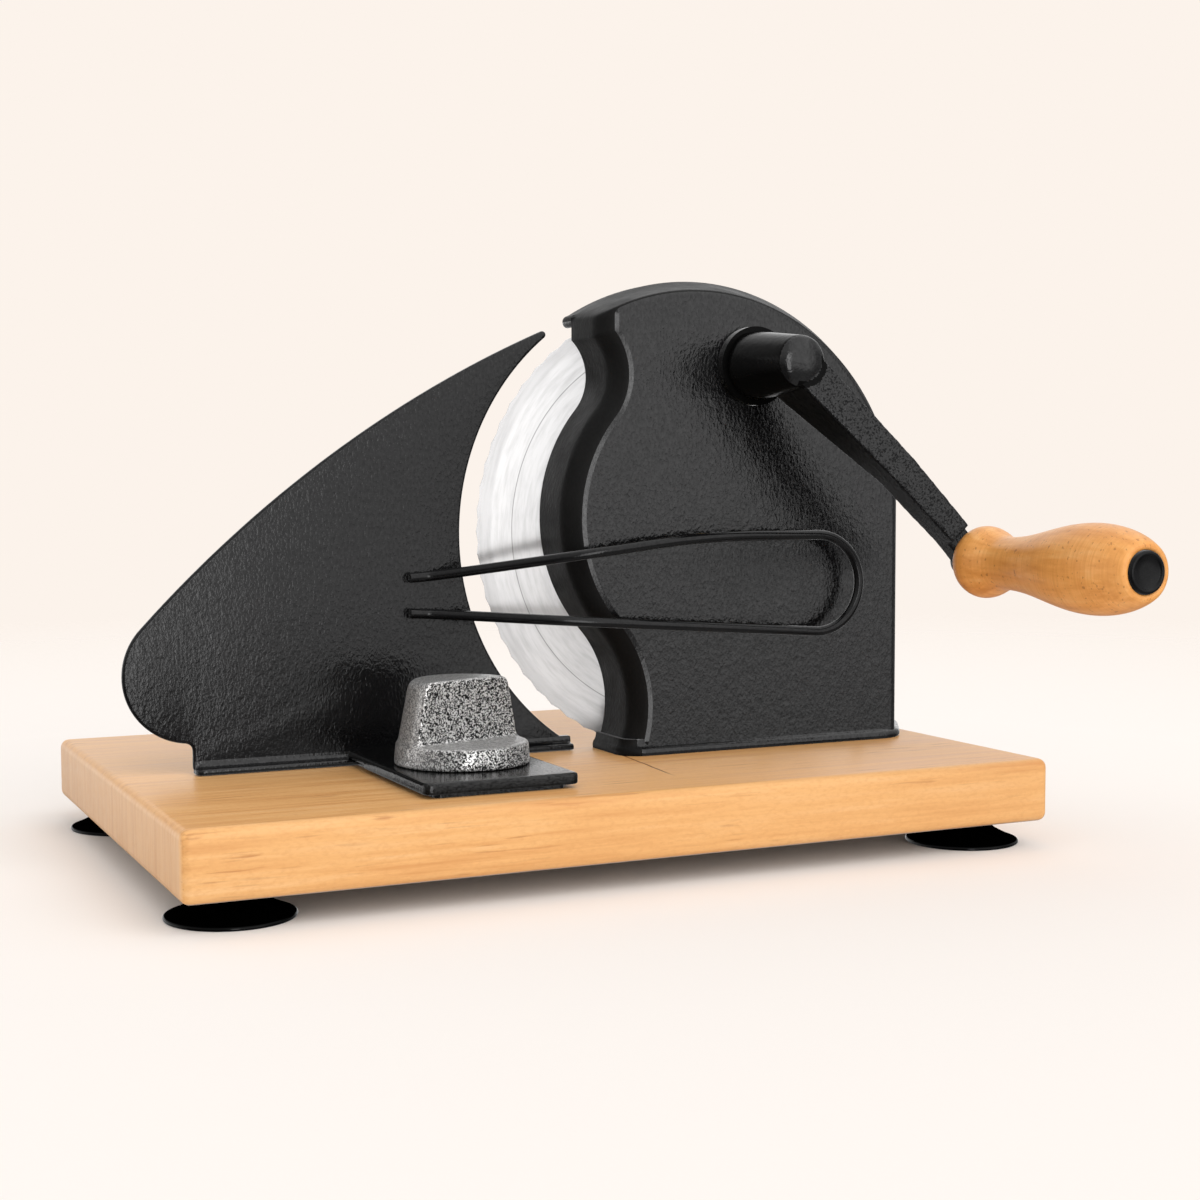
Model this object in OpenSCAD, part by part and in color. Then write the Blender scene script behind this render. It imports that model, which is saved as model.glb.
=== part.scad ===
// Hand-cranked bread slicer on a wooden board, in millimetres.
// Origin: centre of the whole part's box, on the plane that the feet stand on. +Z is up,
// +X runs to the right along the board, +Y points to the back, where the loaf lies.
// The modules are drawn from the centre of the board's underside, and put() shifts them.

/* [Board] */
// Length of the board, left to right
board_l = 345; // [330:1:420]
// Depth of the board, front to back
board_d = 234; // [225:1:300]
// Thickness of the board
board_t = 25; // [20:1:40]
// Radius of the board's upright corners
board_corner = 4; // [1:0.5:12]

/* [Suction feet] */
// Diameter of a suction foot at its lip
foot_d = 45; // [36:1:54]
// Height of a suction foot
foot_h = 10.5; // [9:0.5:16]
// Diameter of the foot's neck under the board
foot_neck_d = 22; // [16:1:30]
// Width of the flat ring that a foot stands on
foot_ring = 3; // [2:0.5:6]
// Thickness of the rubber at the foot's screw
foot_web = 4.5; // [3:0.5:6]
// Distance from the board's ends to the feet's centres
foot_inset_x = 22.5; // [20:0.5:60]
// Distance from the board's long sides to the feet's centres
foot_inset_y = 27; // [24:1:60]

/* [Blade] */
// Diameter of the round blade
blade_d = 190; // [170:1:200]
// Thickness of the blade
blade_t = 1.5; // [1:0.1:2.5]
// Width of the ground edge
blade_bevel = 4; // [2:0.5:8]
// Place of the blade's axis along the board
blade_x = 67.5; // [55:0.5:70]
// Height of the blade's axis above the board
axis_h = 90.5; // [86:0.5:100]
// Depth of the blade's back face inside the rim of the housing
blade_inset = 5; // [4:0.5:8]
// Free space round the blade
blade_gap = 2.5; // [2:0.5:4]

/* [Gears] */
// Module of both gears
gear_module = 2; // [1.8:0.05:2.2]
// Teeth of the large gear on the blade
gear_teeth = 50; // [44:1:54]
// Teeth of the small gear on the crank
pinion_teeth = 18; // [17:1:22]
// Face width of the large gear
gear_w = 10; // [8:0.5:12]
// Pressure angle of the teeth
pressure_angle = 20; // [20:0.5:25]
// Play between the teeth, along the pitch line
backlash = 0.3; // [0.2:0.05:0.5]
// Overhang of the small gear past each side of the large one
pinion_overhang = 0.7; // [0.3:0.1:1]
// Direction of the crank's axis from the blade's axis, in degrees
crank_dir = 78; // [70:1:86]

/* [Blade hub] */
// Diameter of the flange that carries the blade
hub_flange_d = 60; // [50:1:70]
// Length of the flange between the gear and the blade
hub_flange_l = 7.5; // [6:0.5:8]
// Diameter of the spigot in the blade's centre hole
spigot_d = 32; // [30:1:34]
// Length of the hub's nose in front of the gear
hub_nose_l = 2.5; // [1:0.5:3]
// Diameter of the hub's nose
hub_nose_d = 22; // [20:1:30]
// Diameter of the fixed axle
axle_d = 10; // [8:0.5:11]
// Wall of the bearing bush in the hub
gear_bush_wall = 1.5; // [1:0.25:2]
// Diameter of the recess for the axle's screw
recess_d = 22; // [20:0.5:25]
// Depth of that recess
recess_depth = 4; // [4:0.25:6]
// Number of screws that hold the blade
blade_screws_n = 4; // [3:1:6]
// Radius of the circle of those screws
blade_screws_r = 22; // [20:0.5:24]
// Diameter of those screws
blade_screw_d = 4; // [3:0.5:5]

/* [Housing] */
// Depth of the housing, from its rim to its front face
housing_depth = 38; // [36:0.5:48]
// Thickness of the walls
wall = 3.5; // [2.5:0.25:5]
// Thickness of the front wall
front_wall = 4; // [3.5:0.25:6]
// Space between the blade's edge and the roof
hood_gap = 3; // [2.5:0.25:6]
// Place of the roof's centre at the rim, to the right of the blade's axis
hood_right = 2; // [0:0.25:3]
// Place of the roof's centre at the rim, above the blade's axis
hood_up = 1.5; // [0:0.25:3]
// How much smaller the roof's radius is at the front
hood_taper = 7; // [0:0.25:9]
// Shift of the roof's centre at the front, to the left
hood_shift_x = 11; // [0:0.5:14]
// Shift of the roof's centre at the front, up
hood_shift_z = 0.5; // [0:0.5:4]
// How far the right wall leans in from the rim to the front
right_taper = 18.4; // [4:0.2:24]
// Radius of the bulge over the large gear
bulge_r = 68.5; // [64:0.5:72]
// Height of the bulge's centre above the blade's axis
bulge_up = 5; // [2:0.5:8]
// Radius of the hollow neck above the bulge
neck_r = 20.5; // [16:0.5:24]
// Direction of the neck's centre from the bulge's, in degrees
neck_dir = 140; // [137:0.5:143]
// Radius of the hollow below the bulge
waist_r = 45; // [38:0.5:50]
// Direction of that hollow's centre from the bulge's, in degrees
waist_dir = 222; // [219:0.5:225]
// Left end of the roof, measured from the blade's axis
lip_reach = 54; // [51:0.5:60]
// Rounding of the front edge along the curved wall
front_round = 8; // [2:0.5:10]
// Width of the foot bead round the housing
bead_w = 2.5; // [1:0.5:4]
// Height of the foot bead
bead_h = 3.5; // [2:0.5:6]

/* [Crank] */
// Diameter of the crank's shaft
shaft_d = 10; // [8:0.5:11]
// Outer diameter of the shaft's bush
bush_d = 16; // [14:0.5:18]
// Diameter of the collar on the housing's front face
collar_d = 32; // [26:0.5:34]
// Thickness of that collar
collar_t = 4; // [2:0.5:6]
// Length of the crank's hub in front of the collar
hub_l = 38; // [34:0.5:46]
// Diameter of the hub at the collar
hub_d = 28; // [24:0.5:30]
// Diameter of the hub at its domed end
hub_end_d = 20.5; // [19:0.5:22]
// Height of the hub's domed end
hub_dome = 4; // [2:0.5:6]
// Metal left between the shaft and the hub's end
hub_cap = 8; // [6:0.5:12]
// Radius of the crank, from its axis to the grip's axis
crank_r = 110.5; // [95:0.5:112]
// Direction of the arm below the level, in degrees
arm_dir = 46; // [30:1:60]
// Width of the arm at the hub
arm_root_w = 14.5; // [13:0.5:17]
// Depth of the arm at the hub
arm_root_t = 29.5; // [20:0.5:31]
// Place of the arm's bend, as a share of the crank's radius
arm_bend = 0.54; // [0.45:0.01:0.65]
// Width of the arm at its bend
arm_bend_w = 12.2; // [11:0.1:15]
// Depth of the arm at its bend
arm_bend_t = 13.2; // [8:0.2:15]
// How far the arm's front face stands out at its bend
arm_bend_out = 5.6; // [0:0.2:7]
// Width of the arm at the grip
arm_tip_w = 10.3; // [9:0.1:13]
// Depth of the arm at the grip
arm_tip_t = 8.5; // [7:0.5:10]
// Height of the step in the arm's front face beside the grip
arm_step = 4; // [0.5:0.5:5]
// How far the arm's tip stands in front of the hub
arm_forward = 7.2; // [2:0.2:10]
// Diameter of the arm's set screw
set_screw_d = 5; // [4:0.5:6]

/* [Grip] */
// Length of the wooden grip
grip_l = 99; // [90:1:125]
// Diameter of the flange at the arm
grip_flange_d = 29; // [22:0.5:31]
// Place of the flange's crest along the grip
grip_flange_at = 6; // [4:0.5:9]
// Diameter of the neck
grip_neck_d = 21; // [18:0.5:23]
// Place of the neck along the grip
grip_neck_at = 21; // [16:0.5:32]
// Diameter of the belly
grip_belly_d = 34.4; // [28:0.2:38]
// Place of the belly along the grip
grip_belly_at = 72.5; // [60:0.5:80]
// Diameter at the outer end
grip_end_d = 21; // [19:0.5:24]
// Diameter of the spindle that the grip turns on
spindle_d = 8; // [6:0.5:9]
// Diameter of the spindle's head
spindle_head_d = 12; // [11:0.5:13]
// Thickness of the spindle's head
spindle_head_t = 3; // [2:0.5:4]
// Diameter of the plug in the grip's end
plug_d = 16; // [14:0.5:17]
// Depth of the plug in the grip
plug_t = 4; // [2.5:0.5:6]
// How far the plug's dome stands out of the grip
plug_dome = 1.2; // [0.5:0.1:2]

/* [Fence] */
// Thickness of the fence plate
fence_t = 3; // [2:0.25:3.5]
// Gap between the blade's edge and the fence
fence_gap = 7.4; // [5:0.2:10]
// How much lower than the blade the fence's round edge is set
fence_drop = 1.2; // [0:0.1:2]
// Place of the fence's round nose along the board
nose_x = -143; // [-146:0.5:-120]
// Height of the nose's centre above the board
nose_h = 38; // [30:0.5:44]
// Radius of the nose
nose_r = 26; // [20:0.5:28]
// Radius of the fence's long upper edge
fence_arc_r = 487; // [440:1:530]
// Direction of that edge's centre from the nose, in degrees
fence_arc_dir = -42.9; // [-44:0.1:-42]
// Rounding of the fence's upper tip
fence_tip_r = 1.5; // [1:0.1:2.5]
// Right end of the fence's foot
fence_foot_right = 10; // [0:0.5:12]
// Width of the fence's foot
foot_flange_w = 4.5; // [4:0.5:9]
// How far the foot runs past the plate on the right
foot_flange_over = 3; // [0:0.5:5]
// Thickness of the fence's foot, and of the rail beside it
foot_flange_t = 2.5; // [2:0.25:4]
// Width of the tab of the foot under the slide plate
foot_tab_w = 14; // [12:0.5:16]

/* [Slice adjustment] */
// Thickest slice, which is how far the fence slides
slice_max = 16; // [8:0.5:16]
// Place of the clamp knob along the board
knob_x = -53.5; // [-70:0.5:-45]
// Place of the clamp knob in front of the fence
knob_reach = 49; // [48:0.5:52]
// Width of the slide plate
slide_w = 59.5; // [50:0.5:66]
// Length of the slide plate in front of the fence
slide_l = 90.5; // [88:0.5:92]
// Thickness of the slide plate
slide_t = 3; // [2.5:0.25:4]
// How far the rail is set in under the slide plate's sides
rail_inset = 4.5; // [2:0.5:8]
// How far the rail is set in under the slide plate's front
rail_inset_front = 2.5; // [1:0.5:6]
// Width of the rail's guide rib
rib_w = 9; // [8.5:0.5:12]
// Length of the rib in front of the knob's axis
rib_front = 18; // [12:0.5:18]
// Length of the rib behind the knob's axis
rib_back = 6; // [5:0.5:7]
// Clearance between sliding faces
slide_gap = 0.2; // [0.1:0.05:0.3]
// Clearance at the ends of the slot
stop_gap = 0.4; // [0.2:0.1:0.6]

/* [Clamp knob] */
// Diameter of the knob
knob_d = 51; // [42:0.5:54]
// Height of the knob's round base
knob_base_h = 8; // [6:0.5:12]
// Height of the knob's wing
knob_h = 31.5; // [28:0.5:38]
// Diameter of the wing's top
knob_top_d = 39; // [30:0.5:42]
// Place of the wing's flat face in front of the knob's axis
wing_face = 4; // [-4:0.5:8]
// Rounding of the wing's upper corners
wing_round = 4; // [1:0.5:5]
// Angle of the wing to the fence, in degrees
knob_set = 17; // [0:1:30]
// Diameter of the clamp stud
stud_d = 6; // [5:0.5:7]
// Diameter of the threaded insert in the knob
insert_d = 11; // [9:0.5:13]
// Metal left above the threaded insert
insert_roof = 1.2; // [0.8:0.1:2]
// Diameter of the knob's washer
washer_d = 20; // [16:0.5:26]
// Thickness of the knob's washer
washer_t = 1.4; // [1:0.1:2]

/* [Guard wire] */
// Diameter of the wire
wire_d = 4; // [3:0.25:5]
// Distance of the wire's loop in front of the housing
wire_reach = 9; // [7:0.5:9.5]
// Left ends of the wire on the fence
wire_end_x = -57; // [-80:0.5:-52]
// Place where the wire leaves the fence
wire_bend_x = -45; // [-50:0.5:-42]
// Place where the wire turns along the housing
wire_turn_x = 3; // [0:0.5:4]
// Centre of the loop's round end
wire_loop_x = 108; // [90:0.5:112]
// Height of the loop's centre above the board
wire_loop_h = 68; // [60:0.5:72]
// Radius of the loop's round end
wire_loop_r = 20; // [16:0.5:24]

/* [Fits] */
// Radial clearance of turning shafts
run_fit = 0.05; // [0.02:0.01:0.08]
// Radial clearance of fixed pins and screws
fix_fit = 0.03; // [0.02:0.01:0.05]
// Radial clearance of the housing's screws in the board
clear_fit = 0.2; // [0.1:0.05:0.4]
// End play of turning pieces
end_play = 0.3; // [0.2:0.05:0.4]

/* [Hidden] */
$fn = 96;
slop = 1;
coat = "#2c2c2e";
steel = "#c9cacc";
bright = "#e6e6e8";
bronze = "#b08d57";
maple = "#dba468";
grip_wood = "#ce8945";
rubber = "#191919";
nylon = "#e9e4d6";
zinc = "#a8a8aa";

// Board and blade
z_top = board_t;
blade_r = blade_d / 2;
blade_z = z_top + axis_h;
blade_back_y = -blade_inset;
blade_front_y = blade_back_y - blade_t;

// Gears and hub, from the back to the front
centre_dist = gear_module * (gear_teeth + pinion_teeth) / 2;
crank_x = blade_x + centre_dist * cos(crank_dir);
crank_z = blade_z + centre_dist * sin(crank_dir);
gear_back_y = blade_front_y - hub_flange_l;
gear_front_y = gear_back_y - gear_w;
hub_front_y = gear_front_y - hub_nose_l;
pinion_back_y = gear_back_y + pinion_overhang;
pinion_front_y = gear_front_y - pinion_overhang;
pinion_collar_l = 4;
pinion_collar_d = shaft_d + 10;
pin_d = 3;
thrust_t = 0.8;
thrust_d = shaft_d + 9;
thrust_y = pinion_front_y - 0.1;
bush_inner_y = thrust_y - thrust_t - 0.1;
gear_bush_d = axle_d + 2 * gear_bush_wall;
axle_end_y = blade_back_y - recess_depth;
axle_boss_y = hub_front_y - end_play;
axle_floor = 2;
axle_boss_d = axle_d + 12;
bush_boss_d = bush_d + 9;

// Housing, from its rim at y = 0 to its front face
front_y = -housing_depth;
inner_y = front_y + front_wall;
s_back_y = blade_front_y - blade_gap;
hood_r = blade_r + hood_gap + wall;
hood_front_r = hood_r - hood_taper;
hood_back_x = blade_x + hood_right;
hood_back_z = blade_z + hood_up;
hood_front_x = hood_back_x - hood_shift_x;
hood_front_z = hood_back_z + hood_shift_z;
right_back_x = hood_back_x + hood_r;
right_front_x = right_back_x - right_taper;
bulge_z = blade_z + bulge_up;
neck_x = blade_x + (bulge_r + neck_r) * cos(neck_dir);
neck_z = bulge_z + (bulge_r + neck_r) * sin(neck_dir);
waist_x = blade_x + (bulge_r + waist_r) * cos(waist_dir);
waist_z = bulge_z + (bulge_r + waist_r) * sin(waist_dir);
lip_x = blade_x - lip_reach;
foot_left_x = waist_x + sqrt(pow(waist_r, 2) - pow(waist_z - z_top, 2));
round_steps = 5;
post_d = 13;
post_h = 20;
post_y = inner_y + 6;
post_screw_d = 5;
post_screw_head_d = 9.5;
post_screw_head_t = 2.8;
post_xs = [foot_left_x + 17, blade_x + 27, right_front_x - 12];

// Crank and grip, from the housing to the front
collar_y = front_y - collar_t;
hub_start_y = collar_y - end_play;
hub_end_y = hub_start_y - hub_l;
shaft_outer_y = hub_end_y + hub_cap;
shaft_inner_y = pinion_back_y + pinion_collar_l;
arm_tip_y = hub_end_y - arm_forward;
arm_root_y = hub_end_y + 3;
arm_bend_y = arm_root_y + (arm_tip_y - arm_root_y) * arm_bend - arm_bend_out;
arm_shoulder = crank_r - grip_flange_d / 2 - 2.2;
arm_boss_d = spindle_d + 6;
set_screw_y = hub_start_y - 14;
grip_y = arm_tip_y - end_play;
grip_end_y = grip_y - grip_l;
spindle_back_y = arm_tip_y + arm_tip_t;
spindle_rivet_t = 1.6;
plug_y = grip_end_y + plug_t;
spindle_end_y = plug_y + end_play;
head_seat_y = spindle_end_y + spindle_head_t;

// Fence and slide, from the fence to the front
fence_back_y = blade_back_y;
fence_front_y = fence_back_y - fence_t;
foot_z = z_top + slide_gap;
slide_z = foot_z + foot_flange_t;
slide_top = slide_z + slide_t;
nose_z = z_top + nose_h;
arc_x = nose_x + (fence_arc_r - nose_r) * cos(fence_arc_dir);
arc_z = nose_z + (fence_arc_r - nose_r) * sin(fence_arc_dir);
fence_edge_r = blade_r + fence_gap;
fence_edge_z = blade_z - fence_drop;
tip_span = sqrt(pow(arc_x - blade_x, 2) + pow(arc_z - fence_edge_z, 2));
tip_dir_x = (arc_x - blade_x) / tip_span;
tip_dir_z = (arc_z - fence_edge_z) / tip_span;
tip_along = (pow(fence_edge_r + fence_tip_r, 2) - pow(fence_arc_r - fence_tip_r, 2) + pow(tip_span, 2))
            / (2 * tip_span);
tip_across = sqrt(max(0, pow(fence_edge_r + fence_tip_r, 2) - pow(tip_along, 2)));
tip_x = blade_x + tip_along * tip_dir_x + tip_across * tip_dir_z;
tip_z = fence_edge_z + tip_along * tip_dir_z - tip_across * tip_dir_x;
tab_front_y = fence_front_y - foot_tab_w;
tab_inset = 3;
slide_front_y = fence_front_y - slide_l;
slide_corner = 3;
knob_y = fence_front_y - knob_reach;
rail_front_y = slide_front_y + rail_inset_front;
rail_back_y = tab_front_y - slice_max - 1;
rail_w = slide_w - 2 * rail_inset;
rail_top = z_top + foot_flange_t;
rib_front_y = knob_y - rib_front;
rib_back_y = knob_y + rib_back;
rail_screw_x = rail_w / 2 - 7;
rail_screw_ys = [rail_front_y + 8, rail_back_y - 8];
rail_screw_d = 3.5;
rail_screw_head_d = 7;
rail_screw_head_t = 1.8;
rail_screw_l = 16;
plate_screw_d = 4;
plate_screw_head_d = 7.5;
plate_screw_head_t = 1.7;
plate_screw_xs = [-18, 0, 18];
plate_screw_y = fence_front_y - foot_tab_w / 2;

// Knob and stud, from the board upwards
knob_z = slide_top + slide_gap;
washer_z = slide_top + slide_gap / 2;
washer_recess = washer_z + washer_t + 0.1 - knob_z;
insert_z = knob_z + washer_recess;
insert_l = knob_base_h - washer_recess - insert_roof;
stud_top = insert_z + insert_l - 0.5;
stud_head_d = 16;
stud_head_t = 4;
stud_head_z = 0.5;

// Feet
foot_x = board_l / 2 - foot_inset_x;
foot_y = board_d / 2 - foot_inset_y;
foot_screw_d = 4;
foot_screw_head_d = 9;
foot_screw_head_t = 2.5;
foot_screw_l = 16;
foot_lip_t = 1.2;

// Guard wire
wire_r = wire_d / 2;
wire_weld_y = fence_front_y - wire_r;
wire_loop_y = front_y - wire_reach;
wire_loop_z = z_top + wire_loop_h;
wire_upper_weld_z = wire_loop_z + 4.6;
wire_lower_weld_z = wire_loop_z - 9.4;
wire_upper_turn_z = wire_loop_z + 14;
wire_lower_turn_z = wire_loop_z - 12.4;
wire_upper_mid_z = wire_loop_z + wire_loop_r;
wire_sides = 10;

// Shift from the board's underside to the origin of the part
x_max = max(board_l / 2, right_back_x + bead_w, crank_x + crank_r * cos(arm_dir) + grip_belly_d / 2);
x_mid = (x_max - board_l / 2) / 2;
y_mid = (board_d / 2 + grip_end_y - plug_dome) / 2;

// Helpers

// A flat outline in X and Z, made solid from y_back towards the front
module slab(y_back, thick) {
    translate([0, y_back, 0]) rotate([90, 0, 0]) linear_extrude(thick) children();
}

// A round bar along Y, from y_back towards the front
module bar(y_back, y_front, d) {
    translate([0, y_back, 0]) rotate([90, 0, 0]) cylinder(d = d, h = y_back - y_front);
}

module put() { translate([-x_mid, -y_mid, foot_h]) children(); }
module at_blade() { translate([blade_x, 0, blade_z]) children(); }
module at_crank() { translate([crank_x, 0, crank_z]) children(); }
module at_knob() { translate([knob_x, knob_y, 0]) children(); }
module at_grip() {
    translate([crank_x + crank_r * cos(arm_dir), 0, crank_z - crank_r * sin(arm_dir)]) children();
}

// A rectangle with round corners, lower left corner at the given point
module round_rect(low, size, r) {
    translate(low + [r, 0]) square([size.x - 2 * r, size.y]);
    translate(low + [0, r]) square([size.x, size.y - 2 * r]);
    for (x = [r, size.x - r], y = [r, size.y - r])
        translate(low + [x, y]) circle(r);
}

// A slot with round ends along Y
module slot_outline(y_low, y_high, w) {
    translate([-w / 2, y_low + w / 2]) square([w, y_high - y_low - w]);
    for (y = [y_low + w / 2, y_high - w / 2])
        translate([0, y]) circle(d = w);
}

// A countersunk screw that points up, with its head's flat face at z = 0
module flat_screw(d, l, head_d, head_t) {
    cylinder(d1 = head_d, d2 = d, h = head_t);
    cylinder(d = d, h = l);
}

// The matching hole, open below
module flat_screw_hole(d, l, head_d, head_t, play) {
    cylinder(d1 = head_d + 2 * play, d2 = d + 2 * play, h = head_t);
    translate([0, 0, -slop]) cylinder(d = head_d + 2 * play, h = slop);
    cylinder(d = d + 2 * play, h = l);
}

// Involute angle at a radius, in degrees
function involute(r, base) = r <= base ? 0 : sqrt(pow(r / base, 2) - 1) * 180 / PI - acos(base / r);

// Outline of a spur gear with a tooth on the +X axis
function gear_points(teeth, steps = 4) =
    let (pitch = gear_module * teeth / 2,
         base = pitch * cos(pressure_angle),
         root = pitch - 1.25 * gear_module,
         tip = pitch + gear_module,
         half = 90 / teeth - backlash / 4 / pitch * 180 / PI,
         radii = [for (i = [0 : steps]) root + (tip - root) * i / steps],
         turn = [for (r = radii) half + involute(pitch, base) - involute(r, base)])
    [for (k = [0 : teeth - 1], side = [-1, 1], i = [0 : steps])
        let (j = side < 0 ? i : steps - i, a = 360 * k / teeth + side * turn[j])
        radii[j] * [cos(a), sin(a)]];

// Base

module base_board() {
    color(maple) difference() {
        linear_extrude(board_t)
            round_rect([-board_l / 2, -board_d / 2], [board_l, board_d], board_corner);
        at_blade() bar(blade_back_y + blade_gap, blade_front_y - blade_gap, blade_d + 2 * blade_gap);
        for (x = post_xs)
            translate([x, post_y, 0])
                flat_screw_hole(post_screw_d, board_t + slop,
                                post_screw_head_d, post_screw_head_t, clear_fit);
        for (x = [-foot_x, foot_x], y = [-foot_y, foot_y])
            translate([x, y, -slop])
                cylinder(d = foot_screw_d + 2 * fix_fit, h = slop + foot_screw_l - foot_web);
        at_knob() {
            translate([0, 0, -slop]) cylinder(d = stud_d + 2 * fix_fit, h = board_t + 2 * slop);
            translate([0, 0, -slop])
                cylinder(d = stud_head_d + 2 * fix_fit, h = slop + stud_head_z + stud_head_t);
        }
        for (x = [-rail_screw_x, rail_screw_x], y = rail_screw_ys)
            translate([knob_x + x, y, rail_top - rail_screw_l])
                cylinder(d = rail_screw_d + 2 * fix_fit, h = rail_screw_l + slop);
    }
}

module suction_foot(x, y) {
    r = foot_d / 2;
    neck = foot_neck_d / 2;
    hole = foot_screw_d / 2 + fix_fit;
    cup = foot_screw_head_d / 2 + 1.5;
    color(rubber) translate([x, y, 0]) rotate_extrude() polygon([
        [hole, 0], [neck, 0], [neck, -0.3 * foot_h], [neck + 0.2 * (r - neck), -0.45 * foot_h],
        [r - 1, -foot_h + foot_lip_t], [r, -foot_h + 0.7 * foot_lip_t], [r, -foot_h],
        [r - foot_ring, -foot_h], [cup, -foot_web], [hole, -foot_web]]);
}
module suction_foot_front_left() { suction_foot(-foot_x, -foot_y); }
module suction_foot_front_right() { suction_foot(foot_x, -foot_y); }
module suction_foot_rear_left() { suction_foot(-foot_x, foot_y); }
module suction_foot_rear_right() { suction_foot(foot_x, foot_y); }

module foot_screws() {
    color(steel)
    for (x = [-foot_x, foot_x], y = [-foot_y, foot_y])
        translate([x, y, -foot_web]) {
            translate([0, 0, -foot_screw_head_t]) cylinder(d = foot_screw_head_d, h = foot_screw_head_t);
            cylinder(d = foot_screw_d, h = foot_screw_l);
        }
}

// Housing

// Area to the right of the curved wall, drawn in by inset, from z_low upwards
module s_area(inset, z_low) {
    z_high = hood_back_z + hood_r + slop;
    x_right = right_back_x + slop;
    difference() {
        polygon([[waist_x, z_low], [waist_x, waist_z], [blade_x, bulge_z], [neck_x, neck_z],
                 [lip_x + inset, neck_z], [lip_x + inset, z_high], [x_right, z_high], [x_right, z_low]]);
        translate([waist_x, waist_z]) circle(waist_r + inset);
        translate([neck_x, neck_z]) circle(neck_r + inset);
    }
    translate([blade_x, bulge_z]) circle(bulge_r - inset);
}

// Area of the rim behind the blade: the roof and the right wall
module rim_area(inset, z_low) {
    x_right = right_back_x + slop;
    z_high = hood_back_z + hood_r + slop;
    polygon([[blade_x, z_low], [blade_x, neck_z], [lip_x + inset, neck_z], [lip_x + inset, z_high],
             [x_right, z_high], [x_right, z_low]]);
}

// One outline of the roof and the right wall
module hood_outline(x, z, r, right, z_low) {
    intersection() {
        union() {
            translate([x, z]) circle(r);
            translate([x, z_low]) square([right - x, z - z_low]);
        }
        translate([x - r, z_low]) square([right - x + r, z + r - z_low]);
    }
}

// Body of the roof and the right wall, drawn in by inset, starting over behind the rim
module hood_form(inset, over, z_low) {
    hull() {
        slab(over, over - s_back_y)
            hood_outline(hood_back_x, hood_back_z, hood_r - inset, right_back_x - inset, z_low);
        slab(front_y + slop, slop)
            hood_outline(hood_front_x, hood_front_z, hood_front_r - inset, right_front_x - inset, z_low);
    }
}

module housing_shell() {
    step = front_round / round_steps;
    difference() {
        intersection() {
            hood_form(0, 0, z_top);
            union() {
                slab(0, -s_back_y) rim_area(0, z_top);
                slab(s_back_y, s_back_y - front_y - front_round) s_area(0, z_top);
                for (i = [0 : round_steps - 1])
                    slab(front_y + front_round - i * step, step)
                        s_area(front_round * (1 - sqrt(1 - pow((i + 0.5) / round_steps, 2))), z_top);
            }
        }
        intersection() {
            hood_form(wall, slop, z_top - slop);
            union() {
                slab(slop, slop - s_back_y) rim_area(wall, z_top - slop);
                slab(s_back_y, s_back_y - inner_y) s_area(wall, z_top - slop);
            }
        }
        at_blade() bar(slop, s_back_y, blade_d + 2 * blade_gap);
    }
}

module foot_bead() {
    b = bead_w;
    w = wall;
    translate([0, 0, z_top]) linear_extrude(bead_h) difference() {
        polygon([[foot_left_x - b, s_back_y], [foot_left_x - b, front_y - b],
                 [right_front_x + b, front_y - b], [right_back_x + b, s_back_y], [right_back_x + b, 0]]);
        polygon([[foot_left_x + w, slop], [foot_left_x + w, inner_y], [right_front_x - w, inner_y],
                 [right_back_x - w, s_back_y], [right_back_x - w, slop]]);
    }
}

module housing() {
    color(coat) difference() {
        union() {
            housing_shell();
            foot_bead();
            at_blade() bar(axle_boss_y, inner_y - slop, axle_boss_d);
            at_crank() bar(bush_inner_y, inner_y - slop, bush_boss_d);
            for (x = post_xs)
                translate([x, post_y, z_top]) cylinder(d = post_d, h = post_h);
        }
        at_blade() bar(axle_boss_y + slop, front_y + axle_floor, axle_d + 2 * fix_fit);
        at_crank() bar(bush_inner_y + slop, front_y - slop, bush_d + 2 * fix_fit);
        for (x = post_xs)
            translate([x, post_y, z_top - slop]) cylinder(d = post_screw_d + 2 * fix_fit, h = post_h);
    }
}

module housing_screws() {
    color(steel)
    for (x = post_xs)
        translate([x, post_y, 0])
            flat_screw(post_screw_d, board_t + post_h - 3, post_screw_head_d, post_screw_head_t);
}

// Blade axle

module blade_axle() {
    color(steel) at_blade() difference() {
        bar(axle_end_y, front_y + axle_floor, axle_d);
        bar(axle_end_y + slop, axle_end_y - 12, 5 + 2 * fix_fit);
    }
}

module axle_washer() {
    color(steel) at_blade() difference() {
        bar(axle_end_y + 1.5, axle_end_y, recess_d - 3);
        bar(axle_end_y + 1.5 + slop, axle_end_y - slop, 5 + 2 * fix_fit);
    }
}

module axle_screw() {
    color(bright) at_blade() {
        bar(axle_end_y + recess_depth - 0.3, axle_end_y + 1.5, 10);
        bar(axle_end_y + 1.5, axle_end_y - 10, 5);
    }
}

// Blade and its gear

module blade() {
    color(bright) at_blade() translate([0, blade_back_y, 0]) rotate([90, 0, 0]) difference() {
        rotate_extrude() polygon([
            [spigot_d / 2 + fix_fit, 0], [blade_r, 0], [blade_r, 0.3],
            [blade_r - blade_bevel, blade_t], [spigot_d / 2 + fix_fit, blade_t]]);
        for (k = [0 : blade_screws_n - 1])
            rotate(k * 360 / blade_screws_n) translate([blade_screws_r, 0, 0])
                flat_screw_hole(blade_screw_d, blade_t + slop, 2 * blade_screw_d, blade_t * 0.8, fix_fit);
    }
}

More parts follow.
